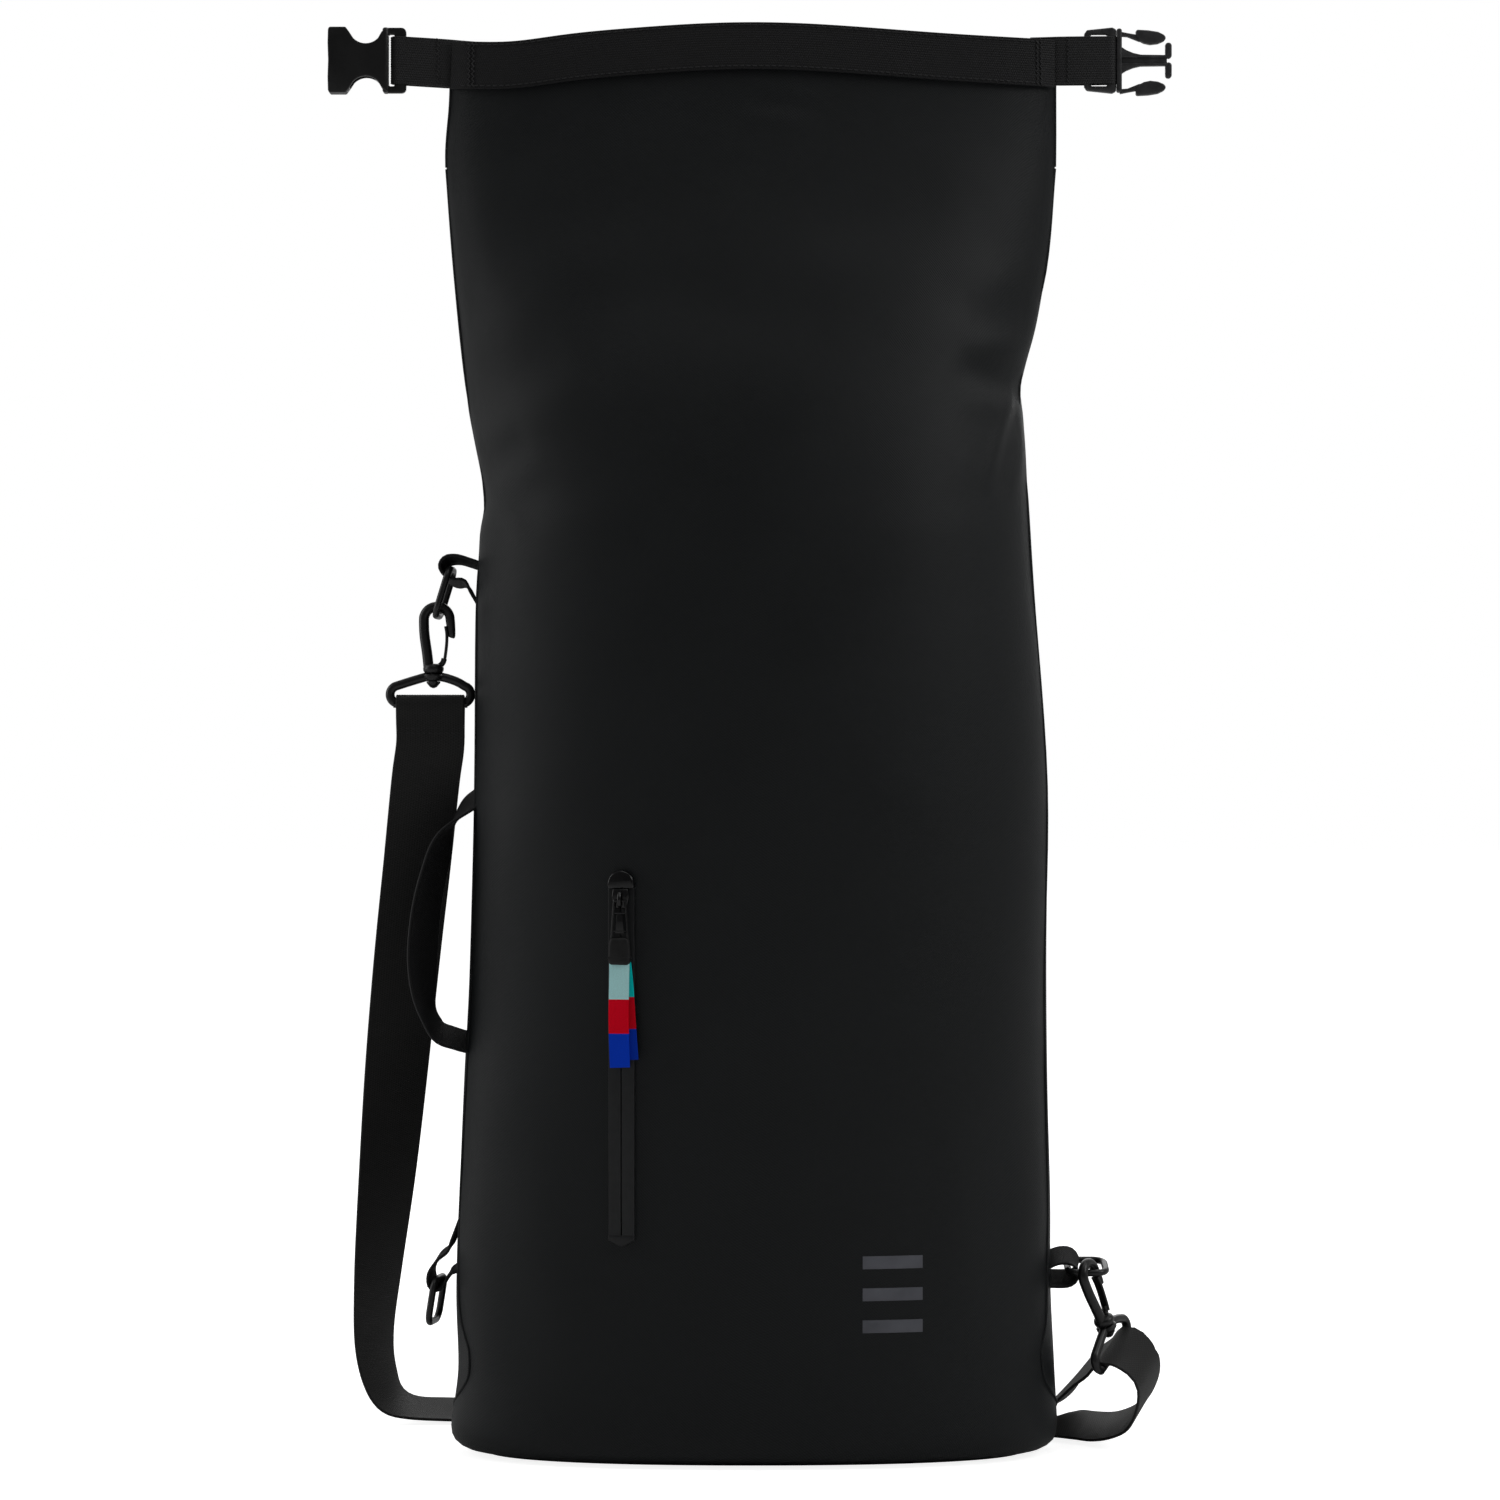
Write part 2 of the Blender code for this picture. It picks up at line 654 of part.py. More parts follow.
def make_clip(side, place):
    """A snap hook: body with spine and nose, leaf gate, and the loop that the strap runs through."""
    arch = [(x, 0.0, z) for x, z in arc((-0.3, -1.9), 6.9, 180, 0, 8)]
    spine = [(SWIVEL_X - 2.6, 0.0, -28.6), (-5.6, 0.0, -20.0), (-6.9, 0.0, -10.0)]
    nose = [(7.0, 0.0, -5.5), (7.5, 0.0, -10.6)]
    points = smooth_path([*spine, *arch, *nose], 2)
    radii = [2.75] * (len(points) - 8) + [2.65, 2.5, 2.4, 2.3, 2.2, 2.1, 1.9, 1.3]
    neck = (SWIVEL_X, 0.0, -27.0), (SWIVEL_X, 0.0, -31.0)
    joined(
        f"{side}_hook_body",
        [
            round_bar("hook_base", *neck, 5.2, place=place),
            wire("hook_wire", points, radii, place=place),
            round_bar("hook_stud", (SWIVEL_X, 0, -30.5), (SWIVEL_X, 0, -36.8), 1.6, place=place),
            round_bar("hook_head", (SWIVEL_X, 0, -36.6), (SWIVEL_X, 0, -39.2), 2.9, tip=0.6, place=place),
        ],
        "plastic",
    )

    leaf = [(2.6, -26.0), (3.9, -20.5), (4.5, -14.0), (3.7, -7.4)]
    stations = [(place @ Vector((x, 0.0, z)), place.to_3x3() @ Vector(ACROSS)) for x, z in leaf]
    gate = add(f"{side}_hook_gate", strip("gate", stations, 4.4), "plastic")
    solidify(gate, 1.5, 0.0)

    left, right = -27.4 + BAR_RADIUS, 19.8 - BAR_RADIUS
    loop = [
        (SWIVEL_X - 4.0, -33.9), (left + 4.0, -38.2), *arc((left + 3.2, -41.6), 3.2, 105, 180, 3),
        *arc((left + 2.6, BAR_Z + 2.6), 2.6, 180, 270, 3), *arc((right - 2.6, BAR_Z + 2.6), 2.6, 270, 360, 3),
        *arc((right - 3.2, -41.6), 3.2, 0, 75, 3), (right - 4.0, -38.2), (SWIVEL_X + 4.0, -33.9),
    ]
    ring_wire = wire("loop", [(x, 0.0, z) for x, z in loop], BAR_RADIUS, closed=True, place=place)
    boss = round_bar("boss", (SWIVEL_X, 0, -31.4), (SWIVEL_X, 0, -36.2), 4.4, place=place)
    triangle = joined(f"{side}_hook_triangle", [boss, ring_wire], "plastic")
    bore = round_bar("swivel_bore", (SWIVEL_X, 0, -30), (SWIVEL_X, 0, -36.3), 2.0, place=place)
    boolean(triangle, add_cutter(f"{side}_swivel_bore", bore), "DIFFERENCE")


# --- The shoulder strap -------------------------------------------------------------------------------------

SLIDER = Vector((95.0, 112.0, 0.0))  # the slider's middle, on the floor behind the bag
FLOOR_LAYER = 1.3  # height of the middle of webbing that lies on the floor
UPPER_CUT = 90.0  # the end loops are cut free of the run on an arc about the clips' pivots
LOWER_CUT = 62.0


def bar_point(place, forward, up):
    """A point beside a loop's bar: forward is across the hook's plane, up is towards the hook."""
    middle = Vector(((-27.4 + 19.8) / 2, forward, BAR_Z + up))
    return place @ middle


def make_strap():
    """One length of webbing: the long run, the short run to the lower hook, and the two end loops."""
    over = BAR_RADIUS + 0.6 + WEBBING / 2
    place = UPPER_CLIP
    top = [
        (bar_point(place, 1.5, -18.0), (1, 0, 0)),
        (bar_point(place, 1.6, -13.0), (1, 0, 0)),
        (bar_point(place, 2.7, -6.5), (1, 0, 0)),
        (bar_point(place, over, -1.0), (1, 0, 0)),
        (bar_point(place, over * 0.76, over * 0.76), (1, 0, 0)),
        (bar_point(place, 0.0, over), (1, 0, 0)),
        (bar_point(place, -over * 0.76, over * 0.76), (1, 0, 0)),
        (bar_point(place, -over, -1.0), (1, 0, 0)),
        (bar_point(place, -2.6, -8.0), (1, 0, 0.03)),
        (bar_point(place, -1.4, -22.0), (1, 0, 0.04)),
    ]
    left_run = [
        (Vector((-172.6, 3.2, 352.0)), (1, 0.08, 0.05)),
        (Vector((-177.5, 13.0, 310.0)), (1, 0.15, 0.05)),
        (Vector((-183.5, 25.0, 262.0)), (0.97, 0.25, 0.05)),
        (Vector((-190.0, 41.0, 205.0)), (0.93, 0.37, 0.08)),
        (Vector((-197.0, 61.0, 140.0)), (0.83, 0.55, 0.15)),
        (Vector((-203.5, 80.0, 84.0)), (0.66, 0.72, 0.20)),
        (Vector((-206.5, 96.0, 45.0)), (0.50, 0.82, 0.30)),
        (Vector((-202.0, 107.0, 20.0)), (0.30, 0.90, 0.42)),
        (Vector((-190.0, 112.0, 8.0)), (0.05, 0.98, 0.21)),
        (Vector((-168.0, 114.0, 5.6)), (0.02, 0.98, 0.20)),
        (Vector((-140.0, 115.0, 5.8)), (0.0, 0.98, 0.20)),
        (Vector((-95.0, 115.0, 4.2)), (0.0, 1.0, 0.12)),
        (Vector((-40.0, 114.0, 2.0)), (0.0, 1.0, 0.02)),
        (Vector((10.0, 112.6, FLOOR_LAYER)), ACROSS),
        (Vector((50.0, 112.0, FLOOR_LAYER)), ACROSS),
    ]
    through_slider = [
        (SLIDER + Vector((x, 0.0, z)), ACROSS)
        for x, z in (
            (-29.0, 1.5), (-22.0, 2.1), (-16.0, 3.2), (-11.4, 6.8), (-7.4, 10.6),
            (-2.0, 12.4), (3.6, 12.0), (8.2, 8.2), (12.6, 4.3), (20.0, 3.5),
        )
    ]
    place = lower_clip()
    bar = place.to_3x3() @ Vector((1.0, 0.0, 0.0))
    inner = [
        (Vector((133.0, 105.0, 4.2)), (0.30, 0.95, 0.0)),
        (Vector((149.0, 88.0, 8.0)), (0.58, 0.80, 0.05)),
        (Vector((161.0, 64.0, 16.5)), (0.48, 0.86, 0.15)),
        (Vector((168.0, 40.0, 28.0)), (0.36, 0.90, 0.22)),
        (Vector((176.0, 20.0, 40.0)), (0.34, 0.87, 0.32)),
    ]
    around = [
        (bar_point(place, 9.0, -2.6), bar),
        (bar_point(place, over * 0.80, over * 0.62), bar),
        (bar_point(place, 0.0, over), bar),
        (bar_point(place, -over * 0.80, over * 0.70), bar),
        (bar_point(place, -8.0, 1.2), bar),
    ]
    outer = [
        (Vector((206.0, -8.0, 44.5)), (0.40, 0.87, 0.28)),
        (Vector((207.5, 2.0, 30.0)), (0.32, 0.93, 0.16)),
        (Vector((202.0, 16.0, 16.5)), (0.24, 0.94, 0.22)),
        (Vector((188.0, 33.0, 8.2)), (0.30, 0.92, 0.25)),
        (Vector((168.0, 50.0, 6.9)), (0.42, 0.87, 0.24)),
        (Vector((158.5, 65.0, 5.2)), (0.49, 0.86, 0.14)),
        (Vector((149.0, 80.0, 2.9)), (0.55, 0.83, 0.03)),
        (Vector((131.0, 103.0, FLOOR_LAYER)), (0.32, 0.95, 0.0)),
    ]
    sewn_end = [
        (SLIDER + Vector((x, 0.0, z)), ACROSS)
        for x, z in (
            (22.0, 1.3), (13.0, 1.4), (6.0, 2.6), (0.0, 3.1), (-3.7, 3.8),
            (-4.7, 6.2), (-3.7, 8.6), (-0.5, 9.2), (2.2, 9.2),
        )
    ]

    # The end loops are cut from the run along arcs about the clips' pivots, so that they can swing.
    pivots, inside = {}, {}
    across, along = Vector((0, 60, 0)), Vector((55, 0, 0))
    for side, middle, reach, radius in (
        ("upper", UPPER_CLIP.translation, across, UPPER_CUT),
        ("lower", place.translation, along, LOWER_CUT),
    ):
        for cutters, size in ((pivots, radius), (inside, radius - GAP)):
            drum = round_bar("drum", middle - reach, middle + reach, size, segments=96)
            cutters[side] = add_cutter(f"{side}_drum_{size:.0f}", drum)

    upper = webbing("strap_upper_end", [*top, *left_run[:2]], STRAP_WIDTH)
    boolean(upper, inside["upper"], "INTERSECT")
    run = webbing("shoulder_strap", [*top[-2:], *left_run, *through_slider, *inner, around[0]], STRAP_WIDTH)
    boolean(run, pivots["upper"], "DIFFERENCE")
    boolean(run, pivots["lower"], "DIFFERENCE")
    lower = webbing("strap_lower_end", [*inner[-3:], *around, *outer[:4]], STRAP_WIDTH)
    boolean(lower, inside["lower"], "INTERSECT")
    fixed = webbing("strap_fixed_run", [around[-1], *outer, *sewn_end], STRAP_WIDTH)
    boolean(fixed, pivots["lower"], "DIFFERENCE")

    # The slider: a flat frame with two slots, one each side of the bar that the end is sewn round.
    frame = rounded(-20, -24, 20, 24, 3.0)
    slots = [rounded(-15.5, -19.8, -2.6, 19.8, 1.0, 2), rounded(2.6, -19.8, 15.5, 19.8, 1.0, 2)]
    at = Matrix.Translation(SLIDER + Vector((0.0, 0.0, 6.2)))
    add("strap_slider", plate("strap_slider", [frame, *slots], 1.4, at), "plastic")


# --- The joints' axes ---------------------------------------------------------------------------------------


def turn_about(point, *names):
    """Moves the origin of each of these pieces to a point on the axis that they turn about."""
    for name in names:
        obj = bpy.data.objects[name]
        obj.data.transform(Matrix.Translation(-Vector(point) * MM))
        obj.location = Vector(point) * MM


def set_pivots():
    """Every moving piece has its origin on its joint's axis."""
    turn_about((0.0, -34.0, LOWER_FOLD), "collar_lower")
    band = ("mouth_band_front", "mouth_band_back", "mouth_stiffener_front", "mouth_stiffener_back")
    turn_about((0.0, -25.5, UPPER_FOLD), "collar_upper", *band)
    turn_about((-162.6, 0.0, BUCKLE_MID), "buckle_tab_left", "buckle_socket")
    turn_about((161.7, 0.0, BUCKLE_MID), "buckle_tab_right", "buckle_plug_frame")
    for name, side in (("buckle_plug_arm_upper", 1), ("buckle_plug_arm_lower", -1)):
        turn_about((192.3, 0.0, BUCKLE_MID + side * 14.0), name)

    zip_place = zip_frame()
    turn_about(zip_place @ Vector((0.0, -5.25, 79.5)), "zip_slider", "zip_pull")
    turn_about(zip_place @ Vector((0.0, -5.25, 59.5)), "ribbon_cap", "ribbon_front", "ribbon_back")

    turn_about(UPPER_RING[0], "upper_left_ring")
    turn_about(FREE_RING[0], "lower_left_ring")
    turn_about(LOWER_RING[0], "lower_right_ring")
    for side, place in (("upper", UPPER_CLIP), ("lower", lower_clip())):
        turn_about(place.translation, f"{side}_hook_triangle", f"strap_{side}_end")
        turn_about(place @ Vector((SWIVEL_X, 0.0, -29.0)), f"{side}_hook_body")
        turn_about(place @ Vector((2.8, 0.0, -26.2)), f"{side}_hook_gate")


make_shell()
make_mouth()
make_zip()
make_buckle()
make_side_fittings()
make_clip("upper", UPPER_CLIP)
make_clip("lower", lower_clip())
make_strap()
set_pivots()
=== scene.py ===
"""A black roll-top rope bag, standing open, with its shoulder strap, zip pocket, buckle and snap hooks.

Every size is in millimetres and becomes metres as each mesh is made. +Z is up and the front of the bag faces
-Y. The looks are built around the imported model, whose bodies carry every piece made here.
"""

from __future__ import annotations

import json
import logging
import math
from dataclasses import dataclass, field, replace
from enum import Enum

import bpy
import numpy as np
from mathutils import Matrix, Vector, noise

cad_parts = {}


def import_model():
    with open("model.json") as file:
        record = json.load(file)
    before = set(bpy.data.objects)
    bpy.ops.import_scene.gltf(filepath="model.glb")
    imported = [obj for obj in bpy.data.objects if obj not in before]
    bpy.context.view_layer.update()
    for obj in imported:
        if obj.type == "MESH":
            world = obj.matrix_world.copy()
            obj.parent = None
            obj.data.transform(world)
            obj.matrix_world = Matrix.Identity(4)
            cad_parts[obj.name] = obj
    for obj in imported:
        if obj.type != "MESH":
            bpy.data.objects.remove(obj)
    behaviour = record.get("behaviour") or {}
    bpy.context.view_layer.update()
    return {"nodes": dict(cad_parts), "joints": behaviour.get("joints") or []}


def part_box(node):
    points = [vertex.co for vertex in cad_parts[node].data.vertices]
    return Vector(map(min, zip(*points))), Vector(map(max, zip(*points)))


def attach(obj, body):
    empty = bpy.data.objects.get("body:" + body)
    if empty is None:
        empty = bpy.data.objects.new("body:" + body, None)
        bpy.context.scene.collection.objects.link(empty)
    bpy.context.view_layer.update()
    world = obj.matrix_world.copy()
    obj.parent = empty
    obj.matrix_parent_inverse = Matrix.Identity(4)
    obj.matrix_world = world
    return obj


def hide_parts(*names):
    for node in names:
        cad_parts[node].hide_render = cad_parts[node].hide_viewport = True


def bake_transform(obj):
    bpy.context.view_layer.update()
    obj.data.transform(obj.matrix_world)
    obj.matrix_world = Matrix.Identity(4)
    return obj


log = logging.getLogger("rope_bag")

MM = 0.001
ACROSS = Vector((0.0, 1.0, 0.0))
Rows = list[list[Vector]]


class Body(Enum):
    """The bodies that pieces ride on."""

    BAG = "root"
    LOWER_COLLAR = "lower_collar"
    UPPER_COLLAR = "upper_collar"
    LEFT_BUCKLE = "left_buckle"
    RIGHT_BUCKLE = "right_buckle"
    ARM_UPPER = "plug_arm_upper"
    ARM_LOWER = "plug_arm_lower"
    SLIDER = "zip_slider"
    PULL = "zip_pull"
    RIBBON = "ribbon"


class Face(Enum):
    """Which half of the bag a piece lies on, as the sign of its y."""

    FRONT = -1
    BACK = 1


# --- The workbench: shapes from Blender's own tools -----------------------------------------------


def deselect() -> None:
    """Leaves nothing selected."""
    bpy.ops.object.select_all(action="DESELECT")


def pick(obj: bpy.types.Object) -> None:
    """Selects one object alone and makes it active."""
    deselect()
    obj.select_set(True)
    bpy.context.view_layer.objects.active = obj


def apply_modifiers(obj: bpy.types.Object) -> None:
    """Applies every modifier of an object, in order."""
    pick(obj)
    for modifier in list(obj.modifiers):
        bpy.ops.object.modifier_apply(modifier=modifier.name)


def smooth(obj: bpy.types.Object, angle: float = 40.0) -> bpy.types.Object:
    """Shades an object smooth, but for edges sharper than an angle in degrees."""
    pick(obj)
    bpy.ops.object.shade_smooth_by_angle(angle=math.radians(angle))
    return obj


def join(name: str, pieces: list[bpy.types.Object]) -> bpy.types.Object:
    """Makes one object of several.

    Args:
        name: the name of the object that is left.
        pieces: the objects, of which the first keeps its materials' order.

    Returns:
        The joined object.
    """
    deselect()
    for piece in pieces:
        piece.select_set(True)
    bpy.context.view_layer.objects.active = pieces[0]
    bpy.ops.object.join()
    pieces[0].name = name
    return pieces[0]


def loft(
    name: str, rows: Rows, closed: bool = True, ends: bool = True, pattern: list | None = None
) -> bpy.types.Object:
    """Lays a grid over rows of points.

    Args:
        name: the object's name.
        rows: rows of points in millimetres, all of one length.
        closed: whether each row runs on into its own start.
        ends: whether the first and last row are closed with a face.
        pattern: (across, along) of each point in metres, for the surface's own map.

    Returns:
        The new object.
    """
    count = len(rows[0]) + (1 if closed else 0)
    deselect()
    bpy.ops.mesh.primitive_grid_add(x_subdivisions=count - 1, y_subdivisions=len(rows) - 1, size=1.0)
    obj = bpy.context.object
    obj.name = name
    points = np.array([[tuple(p) for p in (row + row[:1] if closed else row)] for row in rows], float) * MM
    obj.data.vertices.foreach_set("co", points.reshape(-1))
    if pattern is not None:
        table = np.array([row + [row[0]] if closed and len(row) < count else row for row in pattern], float)
        loops = np.empty(len(obj.data.loops), np.int32)
        obj.data.loops.foreach_get("vertex_index", loops)
        obj.data.uv_layers[0].data.foreach_set("uv", table.reshape(-1, 2)[loops].reshape(-1))
    obj.data.update()
    bpy.ops.object.mode_set(mode="EDIT")
    bpy.ops.mesh.select_all(action="SELECT")
    bpy.ops.mesh.remove_doubles(threshold=1e-6)
    if closed and ends:
        bpy.ops.mesh.select_all(action="SELECT")
        bpy.ops.mesh.fill_holes(sides=0)
    bpy.ops.mesh.select_all(action="SELECT")
    bpy.ops.mesh.normals_make_consistent(inside=False)
    bpy.ops.object.mode_set(mode="OBJECT")
    return obj


def slab(
    name: str, outline: list, half: float, place: Matrix, edge: float, segments: int = 3
) -> bpy.types.Object:
    """Cuts a flat piece from an outline and rounds its edges.

    Args:
        name: the object's name.
        outline: points in the XY plane of the place's frame.
        half: half of the thickness.
        place: the frame that the outline is drawn in.
        edge: width of the rounding along every sharp edge.
        segments: steps in the rounding.

    Returns:
        The new object.
    """
    deselect()
    bpy.ops.mesh.primitive_circle_add(vertices=len(outline), fill_type="NGON")
    obj = bpy.context.object
    obj.name = name
    for vertex, (x, y) in zip(obj.data.vertices, outline):
        vertex.co = Vector((x, y, -half))
    bpy.ops.object.mode_set(mode="EDIT")
    bpy.ops.mesh.select_all(action="SELECT")
    bpy.ops.mesh.extrude_region_move(TRANSFORM_OT_translate={"value": (0.0, 0.0, 2.0 * half)})
    bpy.ops.mesh.select_all(action="SELECT")
    bpy.ops.mesh.normals_make_consistent(inside=False)
    bpy.ops.object.mode_set(mode="OBJECT")
    obj.data.transform(Matrix.Scale(MM, 4) @ place)
    if edge:
        soften(obj, edge, segments)
    return obj


def soften(obj: bpy.types.Object, edge: float, segments: int = 3, angle: float = 35.0) -> bpy.types.Object:
    """Rounds the sharp edges of an object.

    Args:
        obj: the object.
        edge: width of the rounding.
        segments: steps in the rounding.
        angle: the least angle of a sharp edge, in degrees.

    Returns:
        The same object.
    """
    bevel = obj.modifiers.new("edge", "BEVEL")
    bevel.width = edge * MM
    bevel.segments = segments
    bevel.limit_method = "ANGLE"
    bevel.angle_limit = math.radians(angle)
    bevel.harden_normals = False
    apply_modifiers(obj)
    return obj


def cut(obj: bpy.types.Object, cutter: bpy.types.Object) -> bpy.types.Object:
    """Takes a cutter out of an object and throws the cutter away.

    Args:
        obj: the object.
        cutter: what is cut from it.

    Returns:
        The same object.
    """
    modifier = obj.modifiers.new("cut", "BOOLEAN")
    modifier.operation = "DIFFERENCE"
    modifier.object = cutter
    apply_modifiers(obj)
    bpy.data.objects.remove(cutter, do_unlink=True)
    return obj


def arc(centre: tuple, radius: float, start: float, end: float, steps: int) -> list:
    """Points on an arc in a plane, with its angles in degrees."""
    angles = [math.radians(start + (end - start) * k / steps) for k in range(steps + 1)]
    return [(centre[0] + radius * math.cos(a), centre[1] + radius * math.sin(a)) for a in angles]


def rounded(x0: float, y0: float, x1: float, y1: float, radius: float, steps: int = 6) -> list:
    """The outline of a rectangle with round corners."""
    return [
        *arc((x1 - radius, y1 - radius), radius, 0, 90, steps),
        *arc((x0 + radius, y1 - radius), radius, 90, 180, steps),
        *arc((x0 + radius, y0 + radius), radius, 180, 270, steps),
        *arc((x1 - radius, y0 + radius), radius, 270, 360, steps),
    ]


def smooth_path(points: list, steps: int) -> list[Vector]:
    """Points on a smooth curve through the given ones.

    Args:
        points: the given points.
        steps: steps in each stretch between two of them.

    Returns:
        The curve's points.
    """
    points = [Vector(p) for p in points]
    ends = [points[0] * 2 - points[1], *points, points[-1] * 2 - points[-2]]
    found = []
    for a, b, c, d in zip(ends, ends[1:], ends[2:], ends[3:]):
        for step in range(steps):
            t = step / steps
            pull = (c - a) * t + (a * 2 - b * 5 + c * 4 - d) * t**2 + (b * 3 - a - c * 3 + d) * t**3
            found.append(b + pull / 2)
    return [*found, points[-1]]


def even_path(points: list[Vector], step: float) -> tuple[list[Vector], list[float]]:
    """Points an even step apart along a line.

    Args:
        points: the line.
        step: the spacing in millimetres.

    Returns:
        The new points, and for each the place along the old ones, as a fraction of an index.
    """
    lengths = [0.0]
    for a, b in zip(points, points[1:]):
        lengths.append(lengths[-1] + (b - a).length)
    count = max(2, round(lengths[-1] / step))
    found, places = [], []
    k = 0
    for n in range(count + 1):
        want = lengths[-1] * n / count
        while k < len(lengths) - 2 and lengths[k + 1] < want:
            k += 1
        t = (want - lengths[k]) / max(lengths[k + 1] - lengths[k], 1e-9)
        found.append(points[k].lerp(points[k + 1], t))
        places.append(k + t)
    return found, places


def tube(
    name: str,
    points: list[Vector],
    radii: list[float] | float,
    side: Vector,
    closed: bool = False,
    around: int = 20,
) -> bpy.types.Object:
    """A round bar along a flat curve.

    Args:
        name: the object's name.
        points: the curve in millimetres.
        radii: the bar's radius, or one for each point.
        side: a way across the plane that the curve lies in.
        closed: whether the curve runs back into its start.
        around: faces round the bar.

    Returns:
        The new object.
    """
    rows = []
    count = len(points)
    for k, point in enumerate(points):
        if closed:
            along = (points[(k + 1) % count] - points[k - 1]).normalized()
        else:
            along = (points[min(k + 1, count - 1)] - points[max(k - 1, 0)]).normalized()
        second = (side - along * side.dot(along)).normalized()
        first = second.cross(along)
        radius = radii[k] if isinstance(radii, list) else radii
        turns = [2 * math.pi * n / around for n in range(around)]
        rows.append([point + (first * math.cos(a) + second * math.sin(a)) * radius for a in turns])
    if closed:
        rows.append(rows[0])
    return loft(name, rows, closed=True, ends=not closed)


def turned(name: str, profile: list, place: Matrix, around: int = 32) -> bpy.types.Object:
    """A turned piece.

    Args:
        name: the object's name.
        profile: its (radius, height) points.
        place: the frame whose z axis it is turned about.
        around: faces round it.

    Returns:
        The new object.
    """
    rows = []
    for radius, height in profile:
        turns = [2 * math.pi * n / around for n in range(around)]
        rows.append([place @ Vector((radius * math.cos(a), radius * math.sin(a), height)) for a in turns])
    return loft(name, rows)


@dataclass(frozen=True)
class Webbing:
    """A woven tape, with ribs that run along it.

    Attributes:
        width: from edge to edge.
        thick: over the ribs.
        ribs: how many lie side by side, or 0 for a plain tape.
        depth: from a rib's top to the groove beside it.
        step: spacing of the points along it.
    """

    width: float
    thick: float = 1.8
    ribs: int = 11
    depth: float = 0.22
    step: float = 2.5

    def section(self) -> list[tuple[float, float]]:
        """The outline across the tape, as (across, out) points in order round it."""
        half, edge = self.width / 2, self.thick / 2
        per_rib = 4
        count = max(6, self.ribs * per_rib)
        inner = half - edge * 0.8
        top = []
        for k in range(count + 1):
            v = -inner + 2 * inner * k / count
            groove = self.depth / 2 * (1 - math.cos(2 * math.pi * k / per_rib)) if self.ribs else 0.0
            top.append((v, edge - groove))
        right = [(inner + edge * 0.8 * math.sin(a), edge * math.cos(a)) for a in (0.5, 1.1, 1.57, 2.04, 2.64)]
        left = [(-x, -y) for x, y in right]
        return [*top, *right, *[(-x, -y) for x, y in top], *left]

    def along(self, name: str, stations: list, smoothing: int = 6) -> tuple[bpy.types.Object, list[Vector]]:
        """Runs the tape along stations.

        Args:
            name: the object's name.
            stations: (point, way that the width lies) pairs in millimetres.
            smoothing: steps in the curve between two stations.

        Returns:
            The tape, and the line along its middle.
        """
        line = smooth_path([s[0] for s in stations], smoothing)
        ways = smooth_path([Vector(s[1]).normalized() for s in stations], smoothing)
        centres, places = even_path(line, self.step)
        section = self.section()
        rows, pattern = [], []
        girth = [0.0]
        for a, b in zip(section, section[1:]):
            girth.append(girth[-1] + math.dist(a, b))
        travelled = 0.0
        for k, (centre, at) in enumerate(zip(centres, places)):
            low = min(int(at), len(ways) - 2)
            way = ways[low].lerp(ways[low + 1], at - low)
            before, after = centres[max(k - 1, 0)], centres[min(k + 1, len(centres) - 1)]
            along = (after - before).normalized()
            way = (way - along * way.dot(along)).normalized()
            out = way.cross(along)
            rows.append([centre + way * v + out * w for v, w in section])
            travelled += (centre - centres[max(k - 1, 0)]).length
            row = [(g * MM, travelled * MM) for g in girth]
            pattern.append([*row, ((girth[-1] + math.dist(section[-1], section[0])) * MM, travelled * MM)])
        return loft(name, rows, pattern=pattern), centres


@dataclass(frozen=True)
class Thread:
    """Sewing thread, laid as single stitches.

    Attributes:
        length: of a stitch.
        radius: half of its thickness.
        pitch: from one stitch to the next.
    """

    length: float = 2.6
    radius: float = 0.28
    pitch: float = 3.3

    def sew(self, name: str, seams: list[list[tuple[Vector, Vector]]]) -> bpy.types.Object:
        """Sews stitches along seams.

        Args:
            name: the object's name.
            seams: for each seam its stitches, as (middle, way that the stitch lies) pairs.

        Returns:
            All of the stitches as one object.
        """
        deselect()
        bpy.ops.mesh.primitive_uv_sphere_add(segments=8, ring_count=6, radius=MM)
        model = bpy.context.object
        pieces = []
        for middle, along in (stitch for seam in seams for stitch in seam):
            turn = along.to_track_quat("Z", "Y").to_matrix().to_4x4()
            size = Matrix.Diagonal((self.radius, self.radius, self.length / 2, 1.0))
            mesh = model.data.copy()
            mesh.transform(Matrix.Translation(middle * MM) @ turn @ size)
            piece = bpy.data.objects.new("stitch", mesh)
            bpy.context.scene.collection.objects.link(piece)
            pieces.append(piece)
        bpy.data.objects.remove(model, do_unlink=True)
        sewn = join(name, pieces)
        return smooth(sewn, 80)


# --- Finishes -------------------------------------------------------------------------------------


